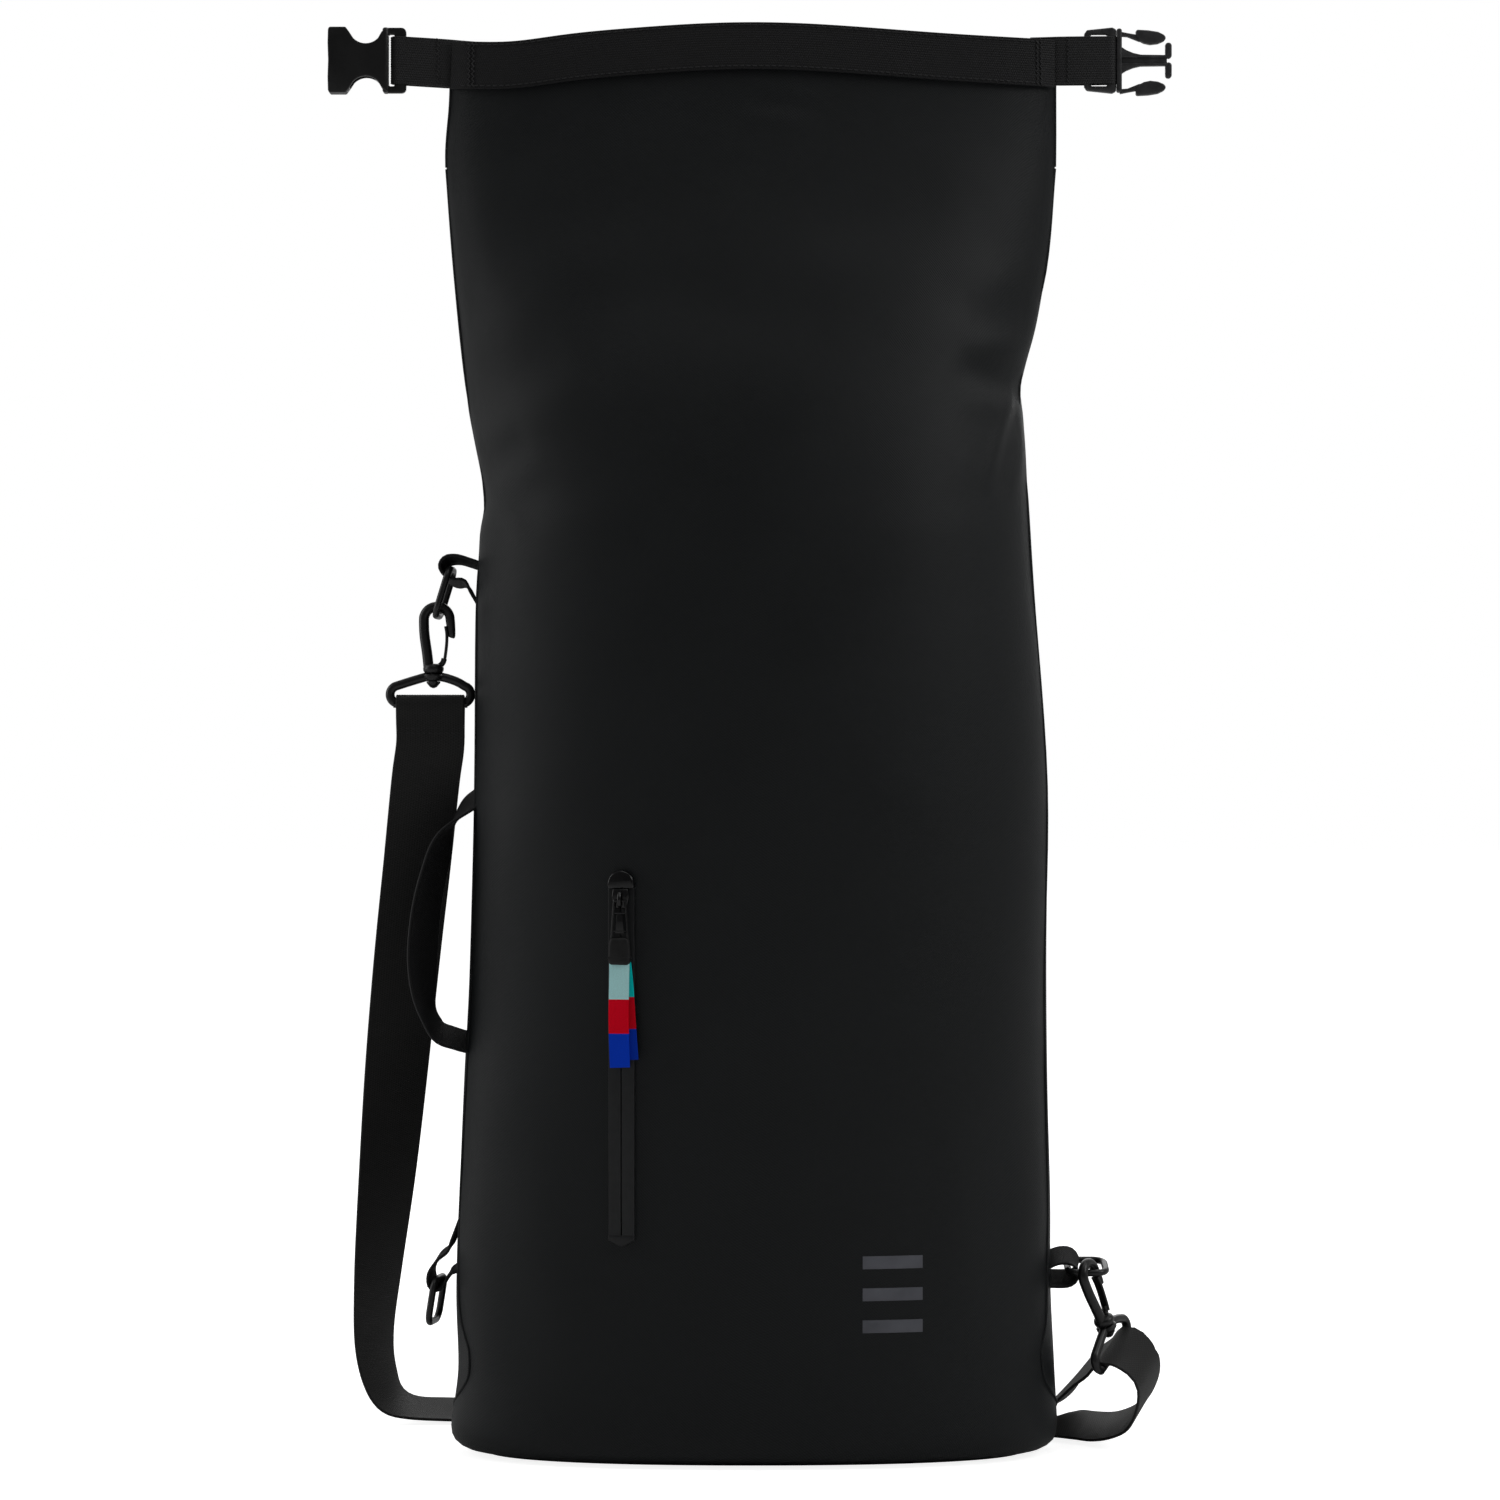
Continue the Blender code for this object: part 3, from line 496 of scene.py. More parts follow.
class Graph:
    """A node tree with short ways to add and join nodes."""

    def __init__(self, tree: bpy.types.NodeTree) -> None:
        """Keeps the tree."""
        self.tree = tree

    def add(self, kind: str, settings: dict | None = None, **inputs: object) -> bpy.types.Node:
        """Adds a node.

        Args:
            kind: the node's type.
            settings: its own properties.
            **inputs: values or output sockets for its inputs, by name, with _ for a space.

        Returns:
            The node.
        """
        made = self.tree.nodes.new(kind)
        for name, value in (settings or {}).items():
            setattr(made, name, value)
        for name, value in inputs.items():
            key = int(name[1:]) if name[0] == "i" and name[1:].isdigit() else name.replace("_", " ")
            socket = made.inputs[key]
            if isinstance(value, bpy.types.NodeSocket):
                self.tree.links.new(value, socket)
            else:
                socket.default_value = value
        return made

    def math(self, operation: str, *values: object) -> bpy.types.NodeSocket:
        """The result of a math node."""
        named = {f"i{k}": value for k, value in enumerate(values)}
        return self.add("ShaderNodeMath", {"operation": operation}, **named).outputs[0]

    def mix(self, share: object, low: object, high: object) -> bpy.types.NodeSocket:
        """Two colours mixed.

        Args:
            share: how much of the second there is.
            low: the first colour.
            high: the second colour.

        Returns:
            The mixed colour's socket.
        """
        made = self.add("ShaderNodeMix", {"data_type": "RGBA"})
        for index, value in ((0, share), (6, low), (7, high)):
            if isinstance(value, bpy.types.NodeSocket):
                self.tree.links.new(value, made.inputs[index])
            else:
                made.inputs[index].default_value = value
        return made.outputs[2]

    def spread(
        self, value: object, low: float, high: float, to_low: float, to_high: float
    ) -> bpy.types.NodeSocket:
        """A value moved from one range to another."""
        ends = {"From_Min": low, "From_Max": high, "To_Min": to_low, "To_Max": to_high}
        return self.add("ShaderNodeMapRange", Value=value, **ends).outputs[0]


def new_group(
    name: str, inputs: dict[str, tuple[str, object]], outputs: dict[str, str]
) -> tuple[Graph, dict, dict]:
    """Starts a shader node group.

    Args:
        name: the group's name.
        inputs: each input's name, with its kind of socket and its value.
        outputs: each output's name, with its kind of socket.

    Returns:
        The graph, its inputs as output sockets by name, and the group output node's inputs by name.
    """
    tree = bpy.data.node_groups.new(name, "ShaderNodeTree")
    for title, (kind, value) in inputs.items():
        socket = tree.interface.new_socket(title, in_out="INPUT", socket_type=kind)
        if value is not None:
            socket.default_value = value
    for title, kind in outputs.items():
        tree.interface.new_socket(title, in_out="OUTPUT", socket_type=kind)
    start = tree.nodes.new("NodeGroupInput")
    finish = tree.nodes.new("NodeGroupOutput")
    return Graph(tree), {s.name: s for s in start.outputs}, {s.name: s for s in finish.inputs}


class Effects:
    """The effects that several finishes share, each a node group that is built once."""

    FLOAT = "NodeSocketFloat"
    VECTOR = "NodeSocketVector"

    def __init__(self) -> None:
        """Builds the groups."""
        self.twill = self._twill()
        self.ribs = self._ribs()
        self.mottle = self._mottle()
        self.edges = self._edge_wear_and_glint()

    def _twill(self) -> bpy.types.NodeTree:
        """Slanting twill lines over crossing yarns."""
        inputs = {"Vector": (self.VECTOR, None), "Pitch": (self.FLOAT, 0.001)}
        graph, given, out = new_group("twill_weave", inputs, {"Height": self.FLOAT, "Shade": self.FLOAT})
        parts = graph.add("ShaderNodeSeparateXYZ", Vector=given["Vector"])
        u = graph.math("DIVIDE", parts.outputs[0], given["Pitch"])
        v = graph.math("DIVIDE", parts.outputs[1], given["Pitch"])
        wander = graph.add("ShaderNodeTexNoise", Vector=given["Vector"], Scale=60.0, Detail=2.0).outputs[0]
        straight = graph.math("ADD", u, graph.math("MULTIPLY", v, 0.8))
        slant = graph.math("ADD", straight, graph.math("MULTIPLY", wander, 1.5))
        line = graph.math("SINE", graph.math("MULTIPLY", slant, 2 * math.pi))
        crossing = graph.math("SUBTRACT", v, graph.math("MULTIPLY", u, 0.5))
        yarn = graph.math("SINE", graph.math("MULTIPLY", crossing, 5.0))
        both = graph.math("ADD", graph.math("MULTIPLY", line, 0.36), graph.math("MULTIPLY", yarn, 0.14))
        height = graph.math("ADD", both, 0.5)
        fleck = graph.add("ShaderNodeTexNoise", Vector=given["Vector"], Scale=900.0, Detail=1.0).outputs[0]
        shade = graph.math("ADD", graph.math("MULTIPLY", height, 0.7), graph.math("MULTIPLY", fleck, 0.3))
        graph.tree.links.new(height, out["Height"])
        graph.tree.links.new(shade, out["Shade"])
        return graph.tree

    def _ribs(self) -> bpy.types.NodeTree:
        """Fine yarns that cross a tape's ribs."""
        inputs = {"Vector": (self.VECTOR, None), "Rib": (self.FLOAT, 0.002), "Yarn": (self.FLOAT, 0.001)}
        graph, given, out = new_group("tape_weave", inputs, {"Height": self.FLOAT, "Shade": self.FLOAT})
        parts = graph.add("ShaderNodeSeparateXYZ", Vector=given["Vector"])
        across = graph.math("DIVIDE", parts.outputs[0], given["Rib"])
        along = graph.math("DIVIDE", parts.outputs[1], given["Yarn"])
        step = graph.math("MULTIPLY", graph.math("FLOOR", across), 0.5)
        picks = graph.math("SINE", graph.math("MULTIPLY", graph.math("ADD", along, step), 2 * math.pi))
        fine = graph.math("SINE", graph.math("MULTIPLY", across, 2 * math.pi))
        both = graph.math("ADD", graph.math("MULTIPLY", picks, 0.3), graph.math("MULTIPLY", fine, 0.2))
        height = graph.math("ADD", both, 0.5)
        fleck = graph.add("ShaderNodeTexNoise", Vector=given["Vector"], Scale=1400.0, Detail=1.0).outputs[0]
        shade = graph.math("ADD", graph.math("MULTIPLY", height, 0.6), graph.math("MULTIPLY", fleck, 0.4))
        graph.tree.links.new(height, out["Height"])
        graph.tree.links.new(shade, out["Shade"])
        return graph.tree

    def _mottle(self) -> bpy.types.NodeTree:
        """Broad soft patches with finer ones in them."""
        inputs = {"Vector": (self.VECTOR, None), "Scale": (self.FLOAT, 20.0)}
        graph, given, out = new_group("soft_mottle", inputs, {"Mask": self.FLOAT})
        noisy = graph.add("ShaderNodeTexNoise", Vector=given["Vector"], Scale=given["Scale"], Detail=3.0)
        broad = noisy.outputs[0]
        graph.tree.links.new(graph.spread(broad, 0.3, 0.7, 0.0, 1.0), out["Mask"])
        return graph.tree

    def _edge_wear_and_glint(self) -> bpy.types.NodeTree:
        """Sharp edges made lighter by how sharply the surface bends: wear, and a painted highlight that they
        catch.
        """
        inputs = {"Vector": (self.VECTOR, None), "Scale": (self.FLOAT, 300.0)}
        graph, given, out = new_group("edge_wear_and_glint", inputs, {"Mask": self.FLOAT})
        # Lighter sharp edges: wear, and a painted highlight along them.
        bend = graph.add("ShaderNodeNewGeometry").outputs["Pointiness"]
        sharp = graph.spread(bend, 0.5, 0.58, 0.0, 1.0)
        grain = graph.add("ShaderNodeTexNoise", Vector=given["Vector"], Scale=given["Scale"], Detail=4.0)
        broken = graph.spread(grain.outputs[0], 0.35, 0.7, 0.0, 1.0)
        graph.tree.links.new(graph.math("MULTIPLY", sharp, broken), out["Mask"])
        return graph.tree


@dataclass(frozen=True)
class Finish:
    """What every finish has: a name, a colour and how rough it is.

    Attributes:
        name: the material's name.
        colour: its base colour.
        rough: its roughness, lowest and highest.
        specular: how strongly it mirrors.
    """

    name: str
    colour: tuple[float, float, float]
    rough: tuple[float, float] = (0.5, 0.6)
    specular: float = 0.3

    def start(self) -> tuple[bpy.types.Material, Graph, bpy.types.Node, bpy.types.NodeSocket]:
        """A new material with its graph, its shader and the piece's own coordinates."""
        material = bpy.data.materials.new(self.name)
        material.use_nodes = True
        graph = Graph(material.node_tree)
        shader = material.node_tree.nodes["Principled BSDF"]
        shader.inputs["Specular IOR Level"].default_value = self.specular
        place = graph.add("ShaderNodeTexCoord")
        return material, graph, shader, place

    def group(self, graph: Graph, tree: bpy.types.NodeTree, **inputs: object) -> bpy.types.Node:
        """A shared effect placed in this material."""
        return graph.add("ShaderNodeGroup", {"node_tree": tree}, **inputs)

    def shades(self, low: float, high: float) -> tuple[tuple, tuple]:
        """The colour made darker and lighter."""
        darker = tuple([*(c * low for c in self.colour), 1.0])
        lighter = tuple([*(min(c * high, 1) for c in self.colour), 1.0])
        return darker, lighter


@dataclass(frozen=True)
class Woven(Finish):
    """Cloth or tape: a weave over soft patches, read from the piece's own map.

    Attributes:
        pitch: spacing of the twill lines, or of the yarns across a tape.
        rib: width of a tape's ribs, or 0 for twill.
        relief: height of the weave in metres.
        sheen: how much the fibres catch light at a slant.
        contrast: how far the weave changes the colour.
        patches: scale of the soft patches.
    """

    pitch: float = 0.001
    rib: float = 0.0
    relief: float = 0.0001
    sheen: float = 0.0
    contrast: float = 0.5
    patches: float = 14.0

    def build(self, effects: Effects) -> bpy.types.Material:
        """Makes the material.

        Args:
            effects: the shared effects.

        Returns:
            The material.
        """
        material, graph, shader, place = self.start()
        if self.rib:
            weave = self.group(graph, effects.ribs, Vector=place.outputs["UV"], Rib=self.rib, Yarn=self.pitch)
        else:
            weave = self.group(graph, effects.twill, Vector=place.outputs["UV"], Pitch=self.pitch)
        soft = self.group(graph, effects.mottle, Vector=place.outputs["Object"], Scale=self.patches)
        dark, light = self.shades(1 - self.contrast, 1 + self.contrast)
        woven = graph.mix(weave.outputs["Shade"], dark, light)
        shaded = graph.add("ShaderNodeMix", {"data_type": "RGBA", "blend_type": "MULTIPLY"})
        shaded.inputs[0].default_value = 0.35
        graph.tree.links.new(woven, shaded.inputs[6])
        patchy = graph.mix(soft.outputs["Mask"], (0.6, 0.6, 0.6, 1), (1, 1, 1, 1))
        graph.tree.links.new(patchy, shaded.inputs[7])
        graph.tree.links.new(shaded.outputs[2], shader.inputs["Base Color"])
        spread = graph.spread(soft.outputs["Mask"], 0.0, 1.0, self.rough[0], self.rough[1])
        graph.tree.links.new(spread, shader.inputs["Roughness"])
        bump = graph.add("ShaderNodeBump", Strength=0.6, Distance=self.relief, Height=weave.outputs["Height"])
        graph.tree.links.new(bump.outputs[0], shader.inputs["Normal"])
        shader.inputs["Sheen Weight"].default_value = self.sheen
        shader.inputs["Sheen Roughness"].default_value = 0.5
        return material


@dataclass(frozen=True)
class Moulded(Finish):
    """Moulded plastic, rubber or enamel: faint moulding grain, soft patches and edges made lighter by wear
    and a painted highlight.

    Attributes:
        grain: scale of the moulding grain.
        relief: its height in metres.
        wear_and_glint: how light the edges go, as wear and as a painted highlight.
        metallic: 1 for bare metal.
        coat: weight of a clear layer.
    """

    grain: float = 700.0
    relief: float = 0.00003
    wear_and_glint: float = 2.5
    metallic: float = 0.0
    coat: float = 0.0

    def build(self, effects: Effects) -> bpy.types.Material:
        """Makes the material.

        Args:
            effects: the shared effects.

        Returns:
            The material.
        """
        material, graph, shader, place = self.start()
        vector = place.outputs["Object"]
        soft = self.group(graph, effects.mottle, Vector=vector, Scale=45.0)
        worn_and_glinting = self.group(graph, effects.edges, Vector=vector, Scale=260.0)
        dark, light = self.shades(0.8, 1.2)
        body = graph.mix(soft.outputs["Mask"], dark, light)
        # Edges lighter by wear and by a painted highlight that they catch.
        edge = self.shades(1.0, self.wear_and_glint)[1]
        graph.tree.links.new(graph.mix(worn_and_glinting.outputs["Mask"], body, edge), shader.inputs["Base Color"])
        spread = graph.spread(soft.outputs["Mask"], 0.0, 1.0, self.rough[0], self.rough[1])
        graph.tree.links.new(spread, shader.inputs["Roughness"])
        grain = graph.add("ShaderNodeTexNoise", Vector=vector, Scale=self.grain, Detail=3.0).outputs[0]
        bump = graph.add("ShaderNodeBump", Strength=0.5, Distance=self.relief, Height=grain)
        graph.tree.links.new(bump.outputs[0], shader.inputs["Normal"])
        shader.inputs["Metallic"].default_value = self.metallic
        shader.inputs["Coat Weight"].default_value = self.coat
        return material


@dataclass(frozen=True)
class Banded(Finish):
    """Woven ribbon in three broad bands, one below another.

    Attributes:
        bands: the three colours from the top.
        low: height of the ribbon's foot in metres.
        high: height of its top in metres.
    """

    bands: tuple = ()
    low: float = 0.0
    high: float = 1.0

    def build(self, effects: Effects) -> bpy.types.Material:
        """Makes the material.

        Args:
            effects: the shared effects.

        Returns:
            The material.
        """
        material, graph, shader, place = self.start()
        height = graph.add("ShaderNodeSeparateXYZ", Vector=place.outputs["Object"]).outputs[2]
        share = graph.spread(height, self.high, self.low, 0.0, 1.0)
        ramp = graph.add("ShaderNodeValToRGB", Fac=share)
        ramp.color_ramp.interpolation = "CONSTANT"
        stops = ramp.color_ramp.elements
        stops.new(2 / 3)
        for stop, at, colour in zip(stops, (0.0, 1 / 3, 2 / 3), self.bands):
            stop.position = at
            stop.color = (*colour, 1.0)
        weave = self.group(graph, effects.ribs, Vector=place.outputs["UV"], Rib=0.0007, Yarn=0.0006)
        shade = graph.mix(weave.outputs["Shade"], (0.72, 0.72, 0.72, 1), (1.12, 1.12, 1.12, 1))
        dyed = graph.add("ShaderNodeMix", {"data_type": "RGBA", "blend_type": "MULTIPLY"})
        dyed.inputs[0].default_value = 1.0
        graph.tree.links.new(ramp.outputs[0], dyed.inputs[6])
        graph.tree.links.new(shade, dyed.inputs[7])
        graph.tree.links.new(dyed.outputs[2], shader.inputs["Base Color"])
        spread = graph.spread(weave.outputs["Shade"], 0.0, 1.0, self.rough[0], self.rough[1])
        graph.tree.links.new(spread, shader.inputs["Roughness"])
        bump = graph.add("ShaderNodeBump", Strength=0.4, Distance=0.00008, Height=weave.outputs["Height"])
        graph.tree.links.new(bump.outputs[0], shader.inputs["Normal"])
        return material


CLOTH = Woven(
    "coated_twill", (0.0085, 0.0100, 0.0108), (0.42, 0.54), 0.24, pitch=0.0012, relief=0.00016, contrast=0.75
)
LINING = Woven(
    "bare_twill", (0.010, 0.010, 0.011), (0.6, 0.7), 0.2, pitch=0.0011, relief=0.00006, contrast=0.4
)
TAPE = Woven(
    "ribbed_tape", (0.0085, 0.0085, 0.0092), (0.55, 0.65), 0.25,
    pitch=0.0012, rib=0.00135, relief=0.00022, contrast=1.0, sheen=0.04,
)
# Painted light: the tabs' tape is the ribbed tape made lighter, for tabs that face the light.
LIT_TAB_TAPE = replace(TAPE, name="lit_tab_tape", colour=(0.0185, 0.0185, 0.0192))
STRAP = Woven(
    "strap_tape", (0.0162, 0.0162, 0.0158), (0.55, 0.65), 0.25,
    pitch=0.0013, rib=0.00136, relief=0.00020, contrast=0.9, sheen=0.05,
)
ACETAL = Moulded("moulded_acetal", (0.0070, 0.0070, 0.0072), (0.26, 0.36), 0.42)
# Painted light: the plug's acetal is the moulded acetal made lighter, for the plug's faces that tilt to the
# light.
LIT_ACETAL = Moulded("lit_acetal", (0.0270, 0.0270, 0.0280), (0.28, 0.38), 0.45)
RUBBER = Moulded("soft_rubber", (0.0080, 0.0080, 0.0080), (0.45, 0.55), 0.25, grain=900.0, relief=0.00005)
LAMINATE = Moulded(
    "zip_laminate", (0.0105, 0.0112, 0.0118), (0.30, 0.38), 0.30, grain=1200.0, relief=0.00002, wear_and_glint=1.5
)
GLOSSY = Moulded(
    "glossy_zip_metal", (0.0025, 0.0025, 0.0028), (0.10, 0.16), 0.35, relief=0.00001, wear_and_glint=4.0, coat=0.12
)
THREAD = Moulded(
    "sewing_thread", (0.021, 0.021, 0.022), (0.5, 0.6), 0.3, grain=2500.0, relief=0.00008, wear_and_glint=1.3
)
INK = Moulded("printed_ink", (0.115, 0.118, 0.135), (0.5, 0.6), 0.2, grain=1500.0, relief=0.00002, wear_and_glint=1.0)
CYAN, PALE_CYAN = (0.0, 0.66, 0.66), (0.56, 0.97, 0.97)
RED, BLUE = (0.93, 0.002, 0.020), (0.004, 0.055, 0.66)


class Paint:
    """Builds each finish once and puts it on pieces."""

    def __init__(self) -> None:
        """Builds the shared effects."""
        self.effects = Effects()
        self.made: dict[str, bpy.types.Material] = {}

    def on(self, obj: bpy.types.Object, finish: Finish) -> bpy.types.Object:
        """Gives an object one finish all over, and reports it.

        Args:
            obj: the object.
            finish: the finish.

        Returns:
            The same object.
        """
        if finish.name not in self.made:
            self.made[finish.name] = finish.build(self.effects)
        obj.data.materials.clear()
        obj.data.materials.append(self.made[finish.name])
        for polygon in obj.data.polygons:
            polygon.material_index = 0
        log.info("%s: %s", obj.name, finish.name)
        return obj


@dataclass
class Assembly:
    """What the sub-assemblies share.

    Attributes:
        paint: puts on the finishes.
    """

    paint: Paint

    def dress(
        self,
        piece: bpy.types.Object,
        finish: Finish,
        slot: str,
        body: str,
        *nodes: str,
        angle: float | None = 40.0,
    ) -> None:
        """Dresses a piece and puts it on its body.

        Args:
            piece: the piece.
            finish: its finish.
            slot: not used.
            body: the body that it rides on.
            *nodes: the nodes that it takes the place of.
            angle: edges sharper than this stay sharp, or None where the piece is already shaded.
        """
        if angle is not None:
            smooth(piece, angle)
        self.paint.on(piece, finish)
        if nodes:
            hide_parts(*nodes)
        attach(piece, body)


# --- The bag's skin -------------------------------------------------------------------------------


@dataclass(frozen=True)
class Station:
    """The bag's section at one height.

    Attributes:
        height: above the floor.
        left: reach to the left.
        right: reach to the right.
        depth: half of the depth from front to back.
        square: 2 for an oval, and more for a squarer section.
    """

    height: float
    left: float
    right: float
    depth: float
    square: float


@dataclass(frozen=True)
class Crease:
    """A fold in the cloth.

    Attributes:
        start: its first (x, z) place.
        end: its last.
        width: how wide it is.
        depth: how deep it is.
    """

    start: tuple[float, float]
    end: tuple[float, float]
    width: float
    depth: float


@dataclass
class Skin:
    """The outside of the bag as a formula, with its dents, creases and the lift of its mouth.

    Attributes:
        stations: the sections from the base to the mouth.
        creases: the folds in the cloth.
        mouth: height of the mouth.
        lift: how far the middle of the mouth's front rises.
    """

    stations: tuple[Station, ...] = (
        Station(0.9, 141.0, 143.0, 56.0, 2.3),
        Station(2.6, 150.0, 151.5, 65.0, 2.3),
        Station(7.0, 156.8, 158.0, 70.0, 2.3),
        Station(14.0, 158.7, 159.8, 71.7, 2.3),
        Station(26.0, 157.0, 159.4, 72.2, 2.3),
        Station(45.0, 154.8, 158.3, 72.5, 2.3),
        Station(84.0, 155.6, 156.4, 73.4, 2.28),
        Station(132.0, 154.3, 156.3, 74.5, 2.25),
        Station(195.0, 152.0, 154.8, 76.4, 2.22),
        Station(250.0, 149.2, 154.3, 78.0, 2.2),
        Station(340.0, 146.8, 154.4, 80.0, 2.2),
        Station(380.0, 145.6, 152.6, 80.4, 2.18),
        Station(420.0, 145.2, 150.2, 80.5, 2.15),
        Station(450.0, 145.2, 147.9, 80.0, 2.13),
        Station(480.0, 143.6, 145.8, 79.0, 2.12),
        Station(500.0, 141.4, 144.6, 76.4, 2.1),
        Station(518.0, 144.0, 143.8, 73.4, 2.09),
        Station(544.0, 149.2, 142.2, 67.8, 2.06),
        Station(558.0, 151.0, 140.8, 64.2, 2.05),
        Station(570.0, 152.2, 143.2, 60.8, 2.03),
        Station(590.0, 154.3, 148.6, 54.6, 2.01),
        Station(614.0, 156.7, 153.0, 46.8, 1.97),
        Station(637.0, 158.6, 156.3, 39.6, 1.93),
        Station(660.0, 160.6, 158.4, 33.0, 1.89),
        Station(684.0, 161.4, 159.0, 26.8, 1.86),
        Station(710.0, 159.4, 159.0, 21.6, 1.85),
        Station(741.0, 159.0, 159.0, 18.0, 1.85),
    )
    creases: tuple[Crease, ...] = (
        Crease((144, 559), (127, 500), 4.0, 1.5),
        Crease((140, 562), (104, 566), 8.0, 1.2),
        Crease((147, 600), (108, 588), 11.0, 0.9),
        Crease((-143, 501), (-126, 474), 5.0, 1.3),
        Crease((-146, 508), (-116, 530), 8.0, 1.0),
        Crease((-150, 548), (-96, 574), 13.0, 0.9),
        Crease((-66, 606), (40, 590), 22.0, 0.8),
        Crease((0, 700), (34, 697), 4.0, 0.5),
        Crease((20, 640), (126, 652), 16.0, 0.7),
        Crease((-120, 640), (-30, 658), 16.0, 0.7),
        Crease((-134, 150), (-120, 40), 14.0, 0.8),
        Crease((126, 170), (136, 60), 13.0, 0.9),
    )
    mouth: float = 741.0
    lift: float = 7.2

    def row(self, z: float) -> tuple[float, float, float, float]:
        """The section at a height, read smoothly between the stations.

        Args:
            z: the height.

        Returns:
            Reach to the left and right, half-depth and squareness.
        """
        table = self.stations
        z = min(max(z, table[0].height), table[-1].height)
        k = next((i for i in range(len(table) - 1) if z <= table[i + 1].height), len(table) - 2)

        def fields(i: int) -> np.ndarray:
            """A station's four sizes."""
            i = min(max(i, 0), len(table) - 1)
            return np.array((table[i].left, table[i].right, table[i].depth, table[i].square))

        def slope(i: int) -> np.ndarray:
            """How fast the sizes change at a station."""
            low, high = max(i - 1, 0), min(i + 1, len(table) - 1)
            return (fields(high) - fields(low)) / (table[high].height - table[low].height)

        span = table[k + 1].height - table[k].height
        t = (z - table[k].height) / span
        read = (
            (2 * t**3 - 3 * t**2 + 1) * fields(k)
            + (t**3 - 2 * t**2 + t) * span * slope(k)
            + (3 * t**2 - 2 * t**3) * fields(k + 1)
            + (t**3 - t**2) * span * slope(k + 1)
        )
        return tuple(read)

    def raised(self, x: float, y: float, z: float) -> float:
        """How far a place near the mouth is lifted above the level it was drawn at.

        Args:
            x: the place's x.
            y: its y, whose sign says front or back.
            z: the level it was drawn at.

        Returns:
            The lift.
        """
        share = min(max((z - 620.0) / 100.0, 0.0), 1.0)
        share = share * share * (3 - 2 * share)
        front = 1.0 if y < 0 else 0.62
        middle = self.lift * math.exp(-((x / 92.0) ** 2))
        corner = 2.6 * math.exp(-(((x + 128.0) / 28.0) ** 2))
        return share * (middle * front - corner)

    def plain(self, angle: float, z: float) -> Vector:
        """The skin without dents.

        Args:
            angle: round the bag, 0 at its right side and 270 degrees at its front.
            z: the height.

        Returns:
            The point.
        """
        left, right, depth, square = self.row(z)
        c, s = math.cos(angle), math.sin(angle)
        reach = right if c > 0 else left
        x = math.copysign(reach * abs(c) ** (2 / square), c)
        y = math.copysign(depth * abs(s) ** (2 / square), s)
        return Vector((x, y, z))

    def outward(self, angle: float, z: float) -> Vector:
        """The way out of the skin at a place."""
        around = self.plain(angle + 0.02, z) - self.plain(angle - 0.02, z)
        upward = self.plain(angle, min(z + 2, self.mouth)) - self.plain(angle, max(z - 2, 1.0))
        return around.cross(upward).normalized()

    def dent(self, point: Vector) -> float:
        """How far the cloth stands out at a place, by its creases and soft waves.

        Args:
            point: the place on the plain skin.

        Returns:
            The distance, below 0 where it is dented in.
        """
        total = 0.0
        for crease in self.creases:
            a, b = Vector(crease.start), Vector(crease.end)
            here = Vector((point.x, point.z))
            along = b - a
            t = min(max((here - a).dot(along) / along.length_squared, 0.0), 1.0)
            away = (here - (a + along * t)).length / crease.width
            fade = math.sin(math.pi * min(0.12 + t * 0.88, 1.0)) ** 0.6 if t < 1 else 0.0
            if away < 3:
                total -= crease.depth * fade * math.exp(-away * away)
                total += 0.45 * crease.depth * fade * math.exp(-((away - 1.9) ** 2) / 0.7)
        wave = noise.noise(Vector((point.x / 95, point.y / 80 + 3.1, point.z / 120)))
        ripple = noise.noise(Vector((point.x / 38, point.y / 40 + 9.7, point.z / 52)))
        held = min(1.0, max(0.0, (point.z - 8) / 60)) * min(1.0, max(0.0, (715 - point.z) / 50))
        near_zip = math.exp(-(((point.x + 67) / 26) ** 2)) if point.y < 0 and 100 < point.z < 325 else 0.0
        side = min(1.0, abs(point.y) / 16)
        return (total * side + (1.3 * wave + 0.32 * ripple) * held * side) * (1 - near_zip)

    def at(self, angle: float, z: float, out: float = 0.0) -> Vector:
        """A point on the finished skin, or out from it.

        Args:
            angle: round the bag, as for the plain skin.
            z: the height.
            out: how far out from the skin.

        Returns:
            The point.
        """
        point = self.plain(angle, z)
        way = self.outward(angle, z)
        point = point + way * (self.dent(point) + out)
        point.z += self.raised(point.x, point.y, z)
        return point

    def angle_at(self, x: float, z: float, face: Face) -> float:
        """The angle at which the skin passes a given x.

        Args:
            x: the place across the bag.
            z: the height.
            face: front or back.

        Returns:
            The angle.
        """
        left, right, _, square = self.row(z)
        share = min(abs(x) / (right if x > 0 else left), 1.0)
        turn = math.acos(share ** (square / 2))
        turn = turn if x > 0 else math.pi - turn
        return turn if face is Face.BACK else -turn

    def on_front(self, x: float, z: float, out: float = 0.0, face: Face = Face.FRONT) -> Vector:
        """A point on the front or back of the skin at an x."""
        return self.at(self.angle_at(x, z, face), z, out)


